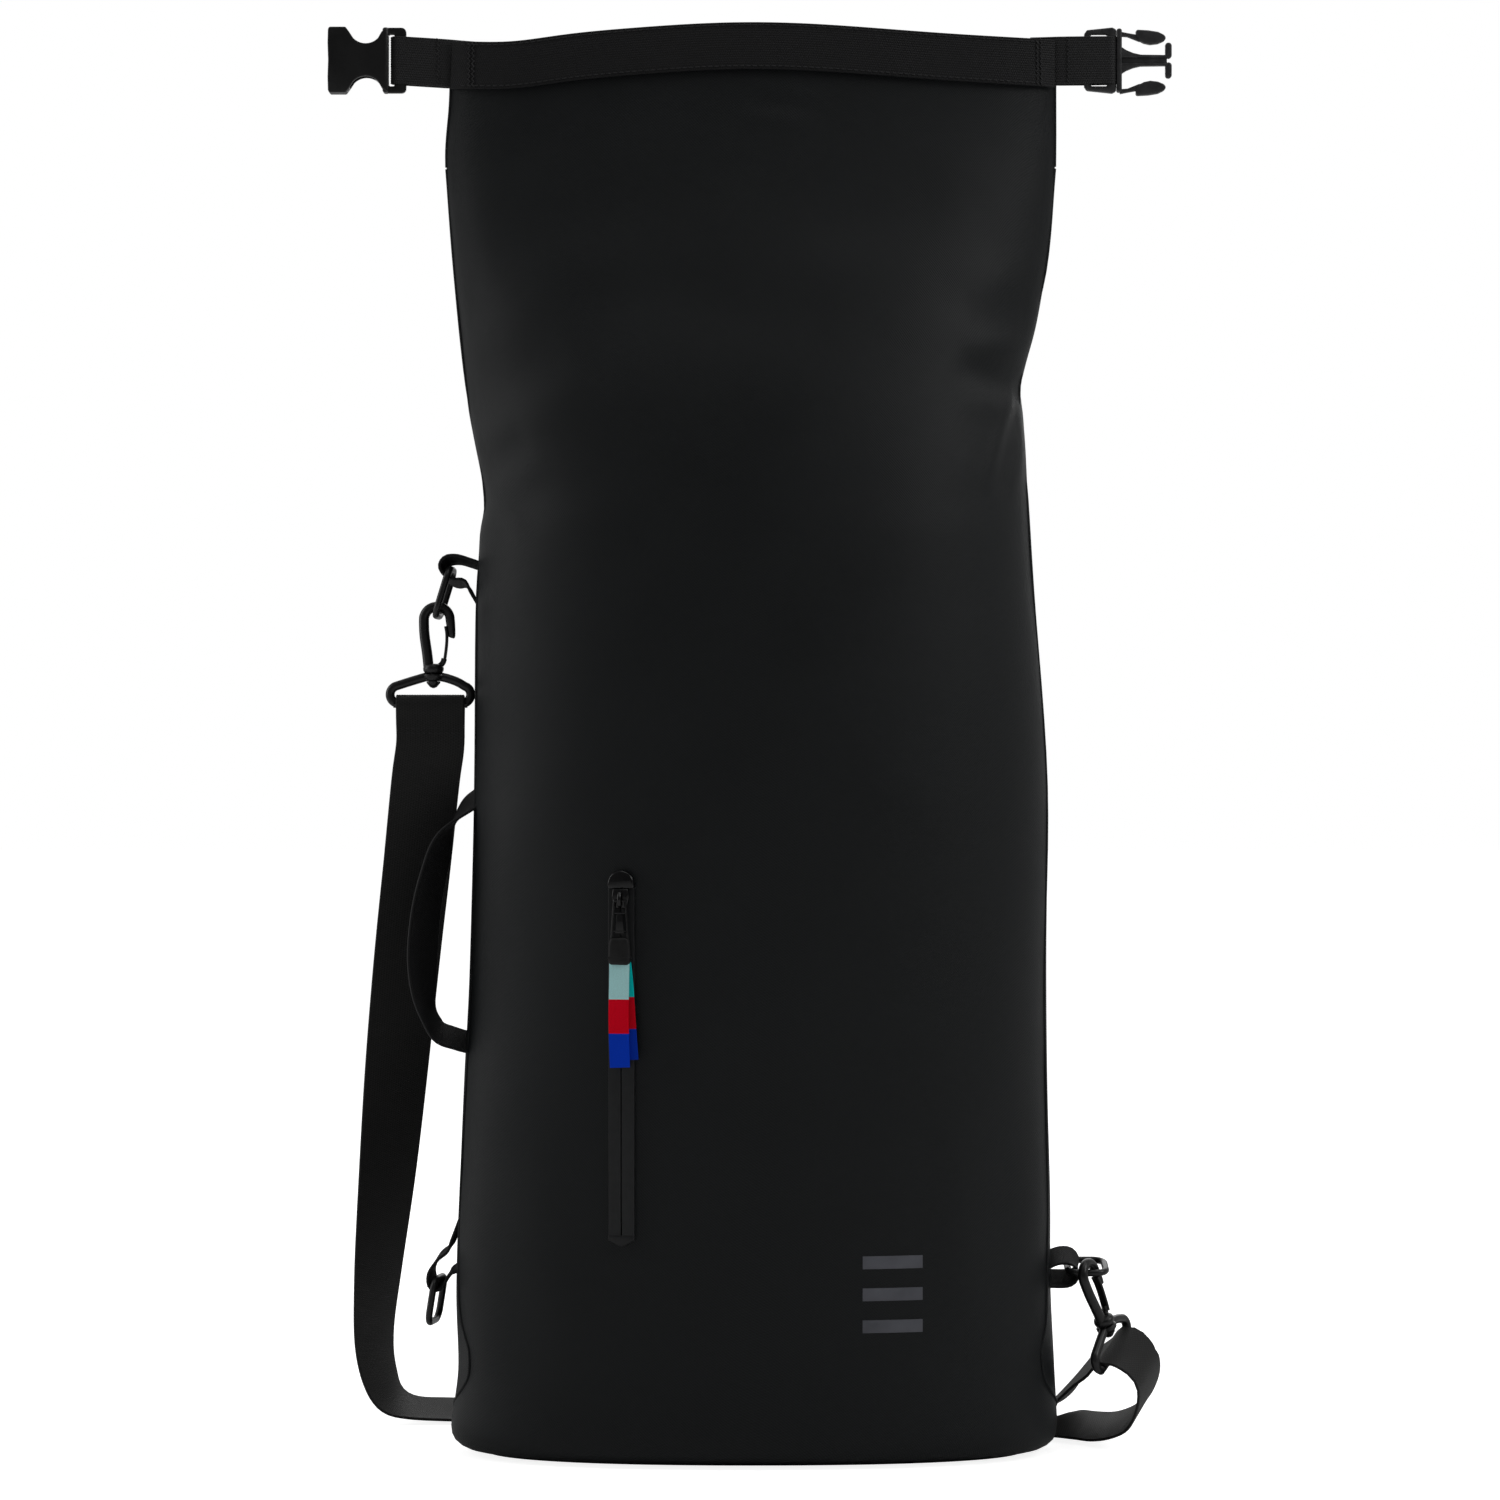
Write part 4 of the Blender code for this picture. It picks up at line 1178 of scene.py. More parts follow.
@dataclass
class Shell(Assembly):
    """The sewn and welded tube: lower part, collar, base, side seams and the pocket behind the zip.

    Attributes:
        skin: the bag's skin.
        around: faces round the tube.
        wall: thickness of the cloth.
        split: height at which the lower and upper pieces meet.
    """

    skin: Skin
    around: int = 224
    wall: float = 1.5
    split: float = 675.0

    def _tube(self, name: str, levels: list[float]) -> bpy.types.Object:
        """A stretch of the tube, with its wall.

        Args:
            name: the piece's name.
            levels: the heights that it runs through.

        Returns:
            The stretch.
        """
        turns = [2 * math.pi * k / self.around for k in range(self.around)]
        girth = 2 * math.pi * 118 * MM
        rows, pattern = [], []
        for z in levels:
            rows.append([self.skin.at(a, z) for a in turns])
            pattern.append([(girth * k / self.around, z * MM) for k in range(self.around + 1)])
        piece = loft(name, rows, closed=True, ends=False, pattern=pattern)
        wall = piece.modifiers.new("wall", "SOLIDIFY")
        wall.thickness = self.wall * MM
        wall.offset = -1.0
        wall.use_even_offset = True
        apply_modifiers(piece)
        return smooth(piece, 60)

    def build(self) -> None:
        """Builds the shell's pieces; the base and the pocket go on the bag's body."""
        low = [0.9, 1.3, 1.9, 2.8, 4.5, 7.0, 10.0, 14.0, 18.0]
        count = 152
        body = [*low, *[22.0 + (self.split - 22.0) * k / count for k in range(count + 1)]]
        lower = self.paint.on(self._tube("bag_body", body), CLOTH)
        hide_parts("front_panel", "back_panel")
        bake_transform(lower)

        top = [self.split + (self.skin.mouth - self.split) * k / 22 for k in range(23)]
        upper = self.paint.on(self._tube("bag_collar", top), CLOTH)
        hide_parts("collar_lower", "collar_upper")
        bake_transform(upper)
        log.info("shell: %d and %d faces", len(lower.data.polygons), len(upper.data.polygons))
        self._base()
        self._seams()
        self._pocket()

    def _base(self) -> None:
        """The stiff base inside the turned-in foot of the tube."""
        turns = [2 * math.pi * k / 96 for k in range(96)]
        foot = [self.skin.plain(a, 0.9) for a in turns]
        outline = [(p.x * 0.995, p.y * 0.99) for p in foot]
        base = slab("base_board", outline, 1.2, Matrix.Translation((0, 0, 1.2)), 0.6, 3)
        self.dress(base, LINING, "coated_fabric", Body.BAG.value, "base_panel")

    def _seams(self) -> None:
        """A welted seam up each side, which swings forward round the foot of the back panel."""
        for name, side in (("left", -1), ("right", 1)):
            route = []
            for z, degrees in (
                (22, -4), (26, 3), (31, 10), (36, 15), (43, 19), (55, 19.5), (63, 17), (72, 14), (90, 12),
                (140, 10), (250, 9), (350, 8), (450, 7), (500, 6), (560, 5), (620, 4), (674, 3),
            ):
                turn = math.radians(-degrees if side > 0 else 180 + degrees)
                route.append(self.skin.at(turn, z, 0.05))
            line, _ = even_path(smooth_path(route, 6), 3.0)
            welt = tube(f"side_seam_{name}", line, 0.8, Vector((0, 1, 0.02)), around=10)
            self.paint.on(smooth(welt), CLOTH)
            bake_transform(welt)
            turn = math.radians(-3 if side > 0 else 183)
            short = [self.skin.at(turn, z, 0.05) for z in (self.split, 684, 694, 704, 714, 724, 734)]
            line, _ = even_path(smooth_path(short, 3), 3.0)
            welt = tube(f"collar_seam_{name}", line, 0.8, Vector((0, 1, 0.02)), around=10)
            self.paint.on(smooth(welt), CLOTH)
            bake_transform(welt)

    def _pocket(self) -> None:
        """The flat pocket behind the zip, slack like cloth."""
        place = zip_place()
        rows = []
        for k in range(41):
            t = k / 40
            z = -93.0 + 186.0 * t
            full = (1 - abs(2 * t - 1) ** 6) ** 0.5
            half, thick = 30.0 + 6.0 * full, 1.2 + 5.8 * full
            row = []
            for n in range(48):
                a = 2 * math.pi * n / 48
                c, s = math.cos(a), math.sin(a)
                x = math.copysign(half * abs(c) ** 0.35, c)
                y = 14.0 + math.copysign(thick * abs(s) ** 0.8, s)
                y += 0.9 * noise.noise(Vector((x / 16, z / 22, 4.0)))
                row.append(place @ Vector((x, y, z)))
            rows.append(row)
        weave = [[(0.1 * n / 48, 0.186 * k / 40) for n in range(49)] for k in range(41)]
        pocket = loft("pocket_lining", rows, pattern=weave)
        self.dress(pocket, LINING, "coated_fabric", Body.BAG.value, "pocket_bag", angle=60)


def zip_place() -> Matrix:
    """The zip's frame, from the joints that move along it: x along the skin, y into the bag, z up it."""
    joints = {j["name"]: j for j in frame["joints"]}
    up = -Vector(joints["zip_travel"]["axis"]).normalized()
    across = -Vector(joints["zip_pull_swing"]["axis"]).normalized()
    turn = Matrix((across, up.cross(across), up)).transposed().to_4x4()
    hinge = Vector(joints["zip_pull_swing"]["pos_m"]) / MM
    return Matrix.Translation(hinge) @ turn @ Matrix.Translation((0.0, 5.25, -79.5))


# --- The mouth: band, stitching and buckle --------------------------------------------------------


@dataclass
class Mouth(Assembly):
    """The webbing band round the mouth, its stitching, and the tabs out to the buckle.

    Attributes:
        skin: the bag's skin.
        low: height of the band's foot.
        band: the band's webbing.
        reach: how far to each side the band runs.
    """

    skin: Skin
    low: float = 716.0
    band: Webbing = field(default_factory=lambda: Webbing(25.0, 1.3, 19, 0.26, 2.6))
    reach: float = 157.0

    def _place(self, x: float, face: Face, out: float) -> tuple[Vector, Vector]:
        """Where the band runs.

        Args:
            x: the place across the bag.
            face: front or back.
            out: how far out from the skin.

        Returns:
            The band's middle, and the way up its width.
        """
        middle = (self.low + self.skin.mouth) / 2
        foot = self.skin.on_front(x, self.low + 1, out, face)
        head = self.skin.on_front(x, self.skin.mouth - 1, out, face)
        here = self.skin.on_front(x, middle, out, face)
        return (foot + head) / 2 * 0.5 + here * 0.5, (head - foot).normalized()

    def build(self) -> None:
        """Builds the bands, the stitching and the tabs."""
        xs = [-self.reach + 2 * self.reach * k / 44 for k in range(45)]
        for face in Face:
            word = face.name.lower()
            stations = [self._place(x, face, 2.4) for x in xs]
            piece, _ = self.band.along(f"mouth_webbing_{word}", stations, 3)
            self.dress(
                piece, TAPE, "ribbed_webbing", Body.UPPER_COLLAR.value, f"mouth_band_{word}", angle=60,
            )
            self._stitch(face)
            inside = [self._place(-120.0 + 240.0 * k / 24, face, 0.9) for k in range(25)]
            stiffener, _ = Webbing(20.0, 0.9, 0, 0.0, 5.0).along(f"hem_stiffener_{word}", inside, 3)
            self.dress(
                stiffener, RUBBER, "stiffener_plastic", Body.UPPER_COLLAR.value,
                f"mouth_stiffener_{word}", angle=60,
            )
        self._tabs()

    def _stitch(self, face: Face) -> None:
        """Rows of stitches along both edges of a band, and a bar-tack near each end.

        Args:
            face: the band on the front or on the back.
        """
        thread = Thread()
        seams = []
        for share in (-10.9, 10.9):
            line = []
            count = int(2 * (self.reach - 6) / thread.pitch)
            for k in range(count):
                x = -self.reach + 6 + thread.pitch * k
                (a, up), (b, _) = self._place(x, face, 3.16), self._place(x + 2.0, face, 3.16)
                line.append((a + up * share, (b - a).normalized()))
            seams.append(line)
        for x in (-147.0, 149.0):
            for column in (-1.0, 1.0):
                bar = []
                for k in range(17):
                    middle, up = self._place(x + column, face, 3.25)
                    way = (Vector((0.9, 0, 0)) * (1 if k % 2 else -1) + up).normalized()
                    bar.append((middle + up * (-10.8 + 1.35 * k), way))
                seams.append(bar)
        sewn = thread.sew(f"mouth_stitching_{face.name.lower()}", seams)
        self.dress(sewn, THREAD, "ribbed_webbing", Body.UPPER_COLLAR.value, angle=None)

    def _tabs(self) -> None:
        """The doubled tabs that hold the buckle, each round its end bar."""
        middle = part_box("buckle_socket")[0].z / MM + 17.4
        tape = Webbing(25.0, 1.5, 19, 0.24, 1.5)
        for name, bar, root, droop, body in (
            ("left", -187.2, -146.0, 2.6, Body.LEFT_BUCKLE),
            ("right", 188.0, 146.0, 0.4, Body.RIGHT_BUCKLE),
        ):
            away = math.copysign(1.0, bar)
            route = [
                (root, -1.0), (root + away * 8, -1.9), (root + away * 15, -3.0),
                (bar - away * 16, -3.3), (bar - away * 8, -3.2), (bar - away * 2.2, -3.1),
                (bar + away * 1.0, -3.0), (bar + away * 2.9, 0.0), (bar + away * 1.0, 3.0),
                (bar - away * 2.2, 3.1), (bar - away * 8, 3.2), (bar - away * 16, 3.3),
                (root + away * 15, 3.0), (root + away * 8, 1.9), (root, 1.0),
            ]
            reach = abs(bar - root)
            sloped = [(x, y, middle - droop * max(0.0, 1 - abs(x - root) / reach)) for x, y in route]
            up = Vector((0.0, 0.0, 1.0))
            piece, _ = tape.along(f"buckle_loop_{name}", [(Vector(p), up) for p in sloped])
            # Painted light: the tabs wear the lighter copy of the ribbed tape.
            self.paint.on(smooth(piece, 60), LIT_TAB_TAPE)
            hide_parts(f"buckle_tab_{name}")
            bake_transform(piece)
            tack = []
            for side in (-1, 1):
                for k in range(17):
                    way = Vector((0.9 * (1 if k % 2 else -1), 0, 1)).normalized()
                    tack.append((Vector((away * 165.5, side * 4.15, middle - 11.2 + 1.35 * k)), way))
            sewn = self.paint.on(Thread().sew(f"bar_tack_{name}", [tack]), THREAD)
            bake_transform(sewn)


@dataclass
class Buckle(Assembly):
    """The side-release buckle: socket at the left, plug with its two sprung arms at the right.

    Attributes:
        half: half of its height.
        socket_half: half of the socket's thickness.
    """

    half: float = 17.3
    socket_half: float = 4.9

    def __post_init__(self) -> None:
        """Finds the buckle's middle."""
        low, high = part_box("buckle_socket")
        self.middle = (low.z + high.z) / 2 / MM
        self.upright = Matrix.Translation((0, 0, self.middle)) @ Matrix.Rotation(math.radians(90), 4, "X")

    def _socket(self) -> None:
        """The waisted socket, open at its left, with a bar frame for its tab."""
        half = self.half
        waist = [
            (-192.4, half - 0.4), (-195.2, half - 2.6), *arc((-203.6, 17.6), 9.0, 325, 215, 12)[1:-1],
            (-212.4, half - 2.4), (-214.2, half), (-222.6, half), (-223.4, half - 1.0),
        ]
        edge = [(-223.6, 9.0), (-223.3, 0.0), (-223.6, -9.0)]
        outline = [*waist, *edge, *[(x, -y) for x, y in reversed(waist)]]
        body = slab("socket", outline, self.socket_half, self.upright, 1.5, 4)
        inner = slab("hollow", rounded(-228, -14.4, -199.0, 14.4, 2.0), 2.9, self.upright, 0.0)
        cut(body, inner)
        frame_outline = rounded(-194.5, -half + 0.1, -182.4, half - 0.1, 2.6)
        bar_frame = slab("bar_frame", frame_outline, 1.7, self.upright, 0.0)
        cut(bar_frame, slab("window", rounded(-191.5, -13.6, -188.6, 13.6, 0.8), 4.0, self.upright, 0.0))
        soften(bar_frame, 0.5, 3)
        rail = slab("rail", rounded(-194.8, -half + 0.2, -191.6, half - 0.2, 1.2), 4.1, self.upright, 1.0, 3)
        socket = join("socket_shell", [body, bar_frame, rail])
        self.dress(socket, ACETAL, "moulded_plastic", Body.LEFT_BUCKLE.value, "buckle_socket", angle=30)

    def _plug(self) -> None:
        """The plug's bar frame and its tongue, two rails that end in a cross bar."""
        half = self.half
        outline = [
            (174.2, -half + 3.4), (175.6, -half + 1.4), (189.0, -half), (191.0, -half + 1.0),
            (191.0, half - 1.0), (189.0, half), (175.6, half - 1.4), (174.2, half - 3.4),
        ]
        plug = slab("plug", outline, 2.1, self.upright, 0.0)
        cut(plug, slab("slot", rounded(177.6, -13.6, 186.4, 13.6, 1.0), 4.0, self.upright, 0.0))
        soften(plug, 0.7, 3)
        block = slab("block", rounded(191.2, -half + 0.6, 194.0, half - 0.6, 1.2), 2.9, self.upright, 0.9, 3)
        rails = []
        for side in (1, -1):
            web = [
                (192.0, 8.6), (193.6, 7.2), (196.4, 5.4), (200.0, 3.9),
                (204.0, 3.0), (218.0, 2.8), (218.0, 1.5), (192.0, 1.5),
            ]
            rails.append(slab("rail", [(x, side * y) for x, y in web][::side], 1.9, self.upright, 0.35, 2))
        rails.append(slab("web", rounded(191.0, -2.6, 217.8, 2.6, 0.4), 0.9, self.upright, 0.2, 2))
        crosses = [rounded(216.8, low, 220.3, low + 8.4, 1.7) for low in (-9.4, 1.0)]
        bars = [slab("cross", outline, 1.9, self.upright, 0.8, 3) for outline in crosses]
        piece = join("plug_frame", [plug, block, *rails, *bars])
        # Painted light: the plug frame wears the lighter copy of the acetal.
        self.dress(piece, LIT_ACETAL, "moulded_plastic", Body.RIGHT_BUCKLE.value, "buckle_plug_frame", angle=30)

    def _arms(self) -> None:
        """Each sprung arm: a slim root and a thick finger pad at its end."""
        stem = [
            (193.0, 12.7), (193.0, 15.2), (197.0, 14.4), (201.6, 13.6), (206.0, 12.4),
            (206.0, 9.6), (203.0, 10.0), (200.0, 11.2), (197.0, 12.4),
        ]
        pad = [
            (201.4, 13.2), (201.2, 15.6), (202.4, 16.1), (208.0, 15.8), (213.0, 15.0), (216.4, 13.4),
            (217.3, 11.8), (216.4, 10.2), (213.0, 8.8), (209.0, 8.3), (205.6, 9.0), (203.0, 10.4),
        ]
        for word, side, body in (("upper", 1, Body.ARM_UPPER), ("lower", -1, Body.ARM_LOWER)):
            shift = 0.0 if side > 0 else 2.4
            mirrored = [[(x, side * (y + shift)) for x, y in shape][::side] for shape in (stem, pad)]
            arm = join(
                f"plug_finger_{word}",
                [
                    slab("stem", mirrored[0], 1.7, self.upright, 0.5, 3),
                    slab("pad", mirrored[1], 2.5, self.upright, 1.1, 4),
                ],
            )
            # Painted light: each arm wears the lighter copy of the acetal.
            self.dress(arm, LIT_ACETAL, "moulded_plastic", body.value, f"buckle_plug_arm_{word}", angle=30)

    def build(self) -> None:
        """Builds both halves."""
        self._socket()
        self._plug()
        self._arms()


# --- The zip --------------------------------------------------------------------------------------


@dataclass
class Zip(Assembly):
    """The front zip with its laminate tapes, garage, slider, wire pull and striped ribbon.

    Attributes:
        skin: the bag's skin.
        half: half of its length.
        edge: half of its width.
        hood: height of the garage, which the slider stops under.
        hinge: level at which the pull hangs on the slider.
        hem: level of the pull's foot, at which the ribbon's cap hangs.
        depth: how far out the pull and the cap lie, below 0.
    """

    skin: Skin
    half: float = 95.0
    edge: float = 6.8
    hood: float = 9.4
    hinge: float = 79.5
    hem: float = 59.5
    depth: float = -5.25

    def __post_init__(self) -> None:
        """Finds the zip's frame."""
        self.place = zip_place()
        self.flat = self.place @ Matrix.Rotation(math.radians(90), 4, "X")

    def _shelf(self, name: str, outline: list, back: float, front: float, edge: float) -> bpy.types.Object:
        """A flat piece drawn face on, between two depths; a smaller y is further out."""
        middle = Matrix.Translation((0, 0, -(back + front) / 2))
        return smooth(slab(name, outline, (back - front) / 2, self.flat @ middle, edge, 3), 30)

    def _fixed(self) -> None:
        """The tapes, the chain between them, the garage and the stop."""
        top, foot = self.half - 9.0, -self.half + 2.0
        for word, side in (("left", -1), ("right", 1)):
            inner, outer = side * 0.28, side * self.edge
            low, high = min(inner, outer), max(inner, outer)
            outline = [(low, foot), (high, foot), (high, top), (low, top)]
            tape = self._shelf(f"zip_laminate_{word}", outline, 1.2, -2.1, 0.35)
            self.dress(tape, LAMINATE, "zip_laminate", Body.BAG.value, f"zip_tape_{word}", angle=None)
        self.paint.on(frame["nodes"]["zip_chain"], RUBBER)

        reach = self.edge + 0.1
        sill = self.half - self.hood
        outline = [(-reach, sill), (reach, sill), *arc((0, self.half - reach), reach, 0, 180, 24)]
        garage = self._shelf("zip_hood", outline, 1.6, -3.9, 1.1)
        self.dress(garage, GLOSSY, "zip_laminate", Body.BAG.value, "zip_garage", angle=None)

        tip = -self.half
        pad = [
            (-reach, tip + 3.2), (-reach, tip + 0.8), (-1.4, tip - 2.3),
            (1.4, tip - 2.3), (reach, tip + 0.8), (reach, tip + 3.2),
        ]
        stop = self._shelf("zip_foot", pad, 1.6, -2.3, 0.4)
        self.dress(stop, LAMINATE, "zip_laminate", Body.BAG.value, "zip_stop", angle=None)

    def _slider(self) -> None:
        """The glossy slider: a shield-shaped body and the bridge over it."""
        top = self.half - self.hood
        shield = [
            (-4.0, top), (4.0, top), (4.6, top - 4.0),
            (3.2, top - 10.0), (-3.2, top - 10.0), (-4.6, top - 4.0),
        ]
        body = self._shelf("body", shield, -2.35, -4.3, 0.7)
        bridge_line = [
            Vector((0.0, -3.6, top - 1.8)), Vector((0.0, -5.4, top - 2.2)), Vector((0.0, -6.8, top - 4.2)),
            Vector((0.0, -6.9, top - 6.4)), Vector((0.0, -6.0, top - 8.2)), Vector((0.0, -3.6, top - 8.9)),
        ]
        line = [self.place @ p for p in smooth_path(bridge_line, 5)]
        bridge = tube("bridge", line, 1.05, self.place.to_3x3() @ Vector((1, 0, 0)), around=14)
        slider = join("slider_body", [body, bridge])
        self.dress(slider, GLOSSY, "moulded_plastic", Body.SLIDER.value, "zip_slider", angle=35)

    def _pull(self) -> None:
        """The wire pull with a thin plate and two bars across it; the ribbon's rubber cap hangs at its foot.
        """
        hang, low, y = self.hinge, self.hem, self.depth
        corners = [
            (-2.4, hang), (2.4, hang), (3.0, hang - 1.0), (4.2, low + 1.4),
            (3.2, low), (-3.2, low), (-4.2, low + 1.4), (-3.0, hang - 1.0),
        ]
        ring = smooth_path([*[(x, y, z) for x, z in corners], (corners[0][0], y, corners[0][1])], 4)[:-1]
        deep = self.place.to_3x3() @ ACROSS
        wire = tube("wire", [self.place @ p for p in ring], 0.62, deep, closed=True, around=12)
        plate = [(-1.5, hang - 6.0), (1.5, hang - 6.0), (2.3, low + 3.4), (-2.3, low + 3.4)]
        blade = self._shelf("blade", plate, y + 0.35, y - 0.35, 0.2)
        bar_line = [self.place @ Vector((x, y, low + 4.6)) for x in (-3.4, -1.0, 1.0, 3.4)]
        bar = tube("bar", bar_line, 0.5, deep, around=10)
        neck_line = [self.place @ Vector((x, y, hang - 6.2)) for x in (-2.8, -1.0, 1.0, 2.8)]
        neck = tube("neck", neck_line, 0.5, deep, around=10)
        pull = join("pull_wire", [wire, blade, bar, neck])
        self.dress(pull, GLOSSY, "zip_metal", Body.PULL.value, "zip_pull")

    def _ribbon(self) -> None:
        """The cap and the folded ribbon in three broad bands."""
        low, y = self.hem, self.depth
        foot = low - 12.6
        outline = [
            (-5.1, foot), (5.1, foot), (5.7, foot + 2.4), (5.5, low - 3.0), (4.9, low + 0.6),
            (3.4, low + 1.3), (-3.4, low + 1.3), (-4.9, low + 0.6), (-5.5, low - 3.0), (-5.7, foot + 2.4),
        ]
        cap = self._shelf("cap", outline, y + 2.0, y - 2.3, 1.3)
        groove = self._shelf("groove", rounded(-4.6, low - 1.6, 4.6, low + 4.0, 0.8), y + 1.0, y - 1.5, 0.0)
        cut(cap, groove)
        ledge = self._shelf("ledge", rounded(-5.9, foot + 3.0, 5.9, foot + 4.2, 0.5), y + 2.2, y - 2.5, 0.4)
        holder = join("ribbon_holder", [cap, ledge])
        self.dress(holder, RUBBER, "moulded_plastic", Body.RIBBON.value, "ribbon_cap", angle=35)

        tail = foot + 1.0
        ways = [self.place.to_3x3() @ Vector((1.0, slant, 0.0)) for slant in (0.03, -0.02, 0.02, 0.05, 0.0)]
        lean = [(0.0, 0.0), (-0.15, -0.3), (-0.45, -0.1), (-0.2, 0.1), (0.35, -0.35)]
        front = [
            (self.place @ Vector((dx, y - 0.75 + dy, tail - 53.4 * k / 4)), ways[k])
            for k, (dx, dy) in enumerate(lean)
        ]
        fanned = [(1.2, 0.6), (2.6, 0.75), (3.6, 0.5), (4.6, 0.85), (5.6, 0.4)]
        rear = [
            (self.place @ Vector((dx * 0.86, y + 0.55 + dy * 0.3, tail - 49.6 * k / 4)), ways[-1 - k])
            for k, (dx, dy) in enumerate(fanned)
        ]
        for word, stations, width, bands in (
            ("front", front, 10.5, (PALE_CYAN, RED, BLUE)),
            # Painted shade: the back half's red and blue are the front's at 0.7, for the half that hangs
            # behind.
            ("back", rear, 9.6, (CYAN, tuple(c * 0.7 for c in RED), tuple(c * 0.7 for c in BLUE))),
        ):
            ribbon, _ = Webbing(width, 0.55, 0, 0.0, 1.2).along(f"striped_ribbon_{word}", stations)
            heights = [v.co.z for v in ribbon.data.vertices]
            top = (self.place @ Vector((0, 0, foot))).z * MM
            finish = Banded(f"striped_{word}", PALE_CYAN, (0.6, 0.75), 0.05, bands, min(heights), top)
            self.dress(ribbon, finish, "ribbon_cyan", Body.RIBBON.value, f"ribbon_{word}", angle=50)

    def build(self) -> None:
        """Builds the zip's pieces."""
        self._fixed()
        self._slider()
        self._pull()
        self._ribbon()


# --- Tabs, rings, handle and print ----------------------------------------------------------------

RING_REACH = 11.75
UPPER_RING = (Vector((-158.6, 0.0, 463.2)), Vector((-166.0, 0.0, 438.9)))
FREE_RING = (Vector((-164.9, 0.0, 90.8)), Vector((-168.4, 0.0, 68.0)))
LOWER_RING = (Vector((165.4, 0.0, 96.6)), Vector((185.2, 0.0, 96.6)))
LOWER_RING_SIDE = Vector((0.0, 0.98, 0.19)).normalized()
TURNED_SIDE = Vector((0.17, 0.985, 0.0)).normalized()


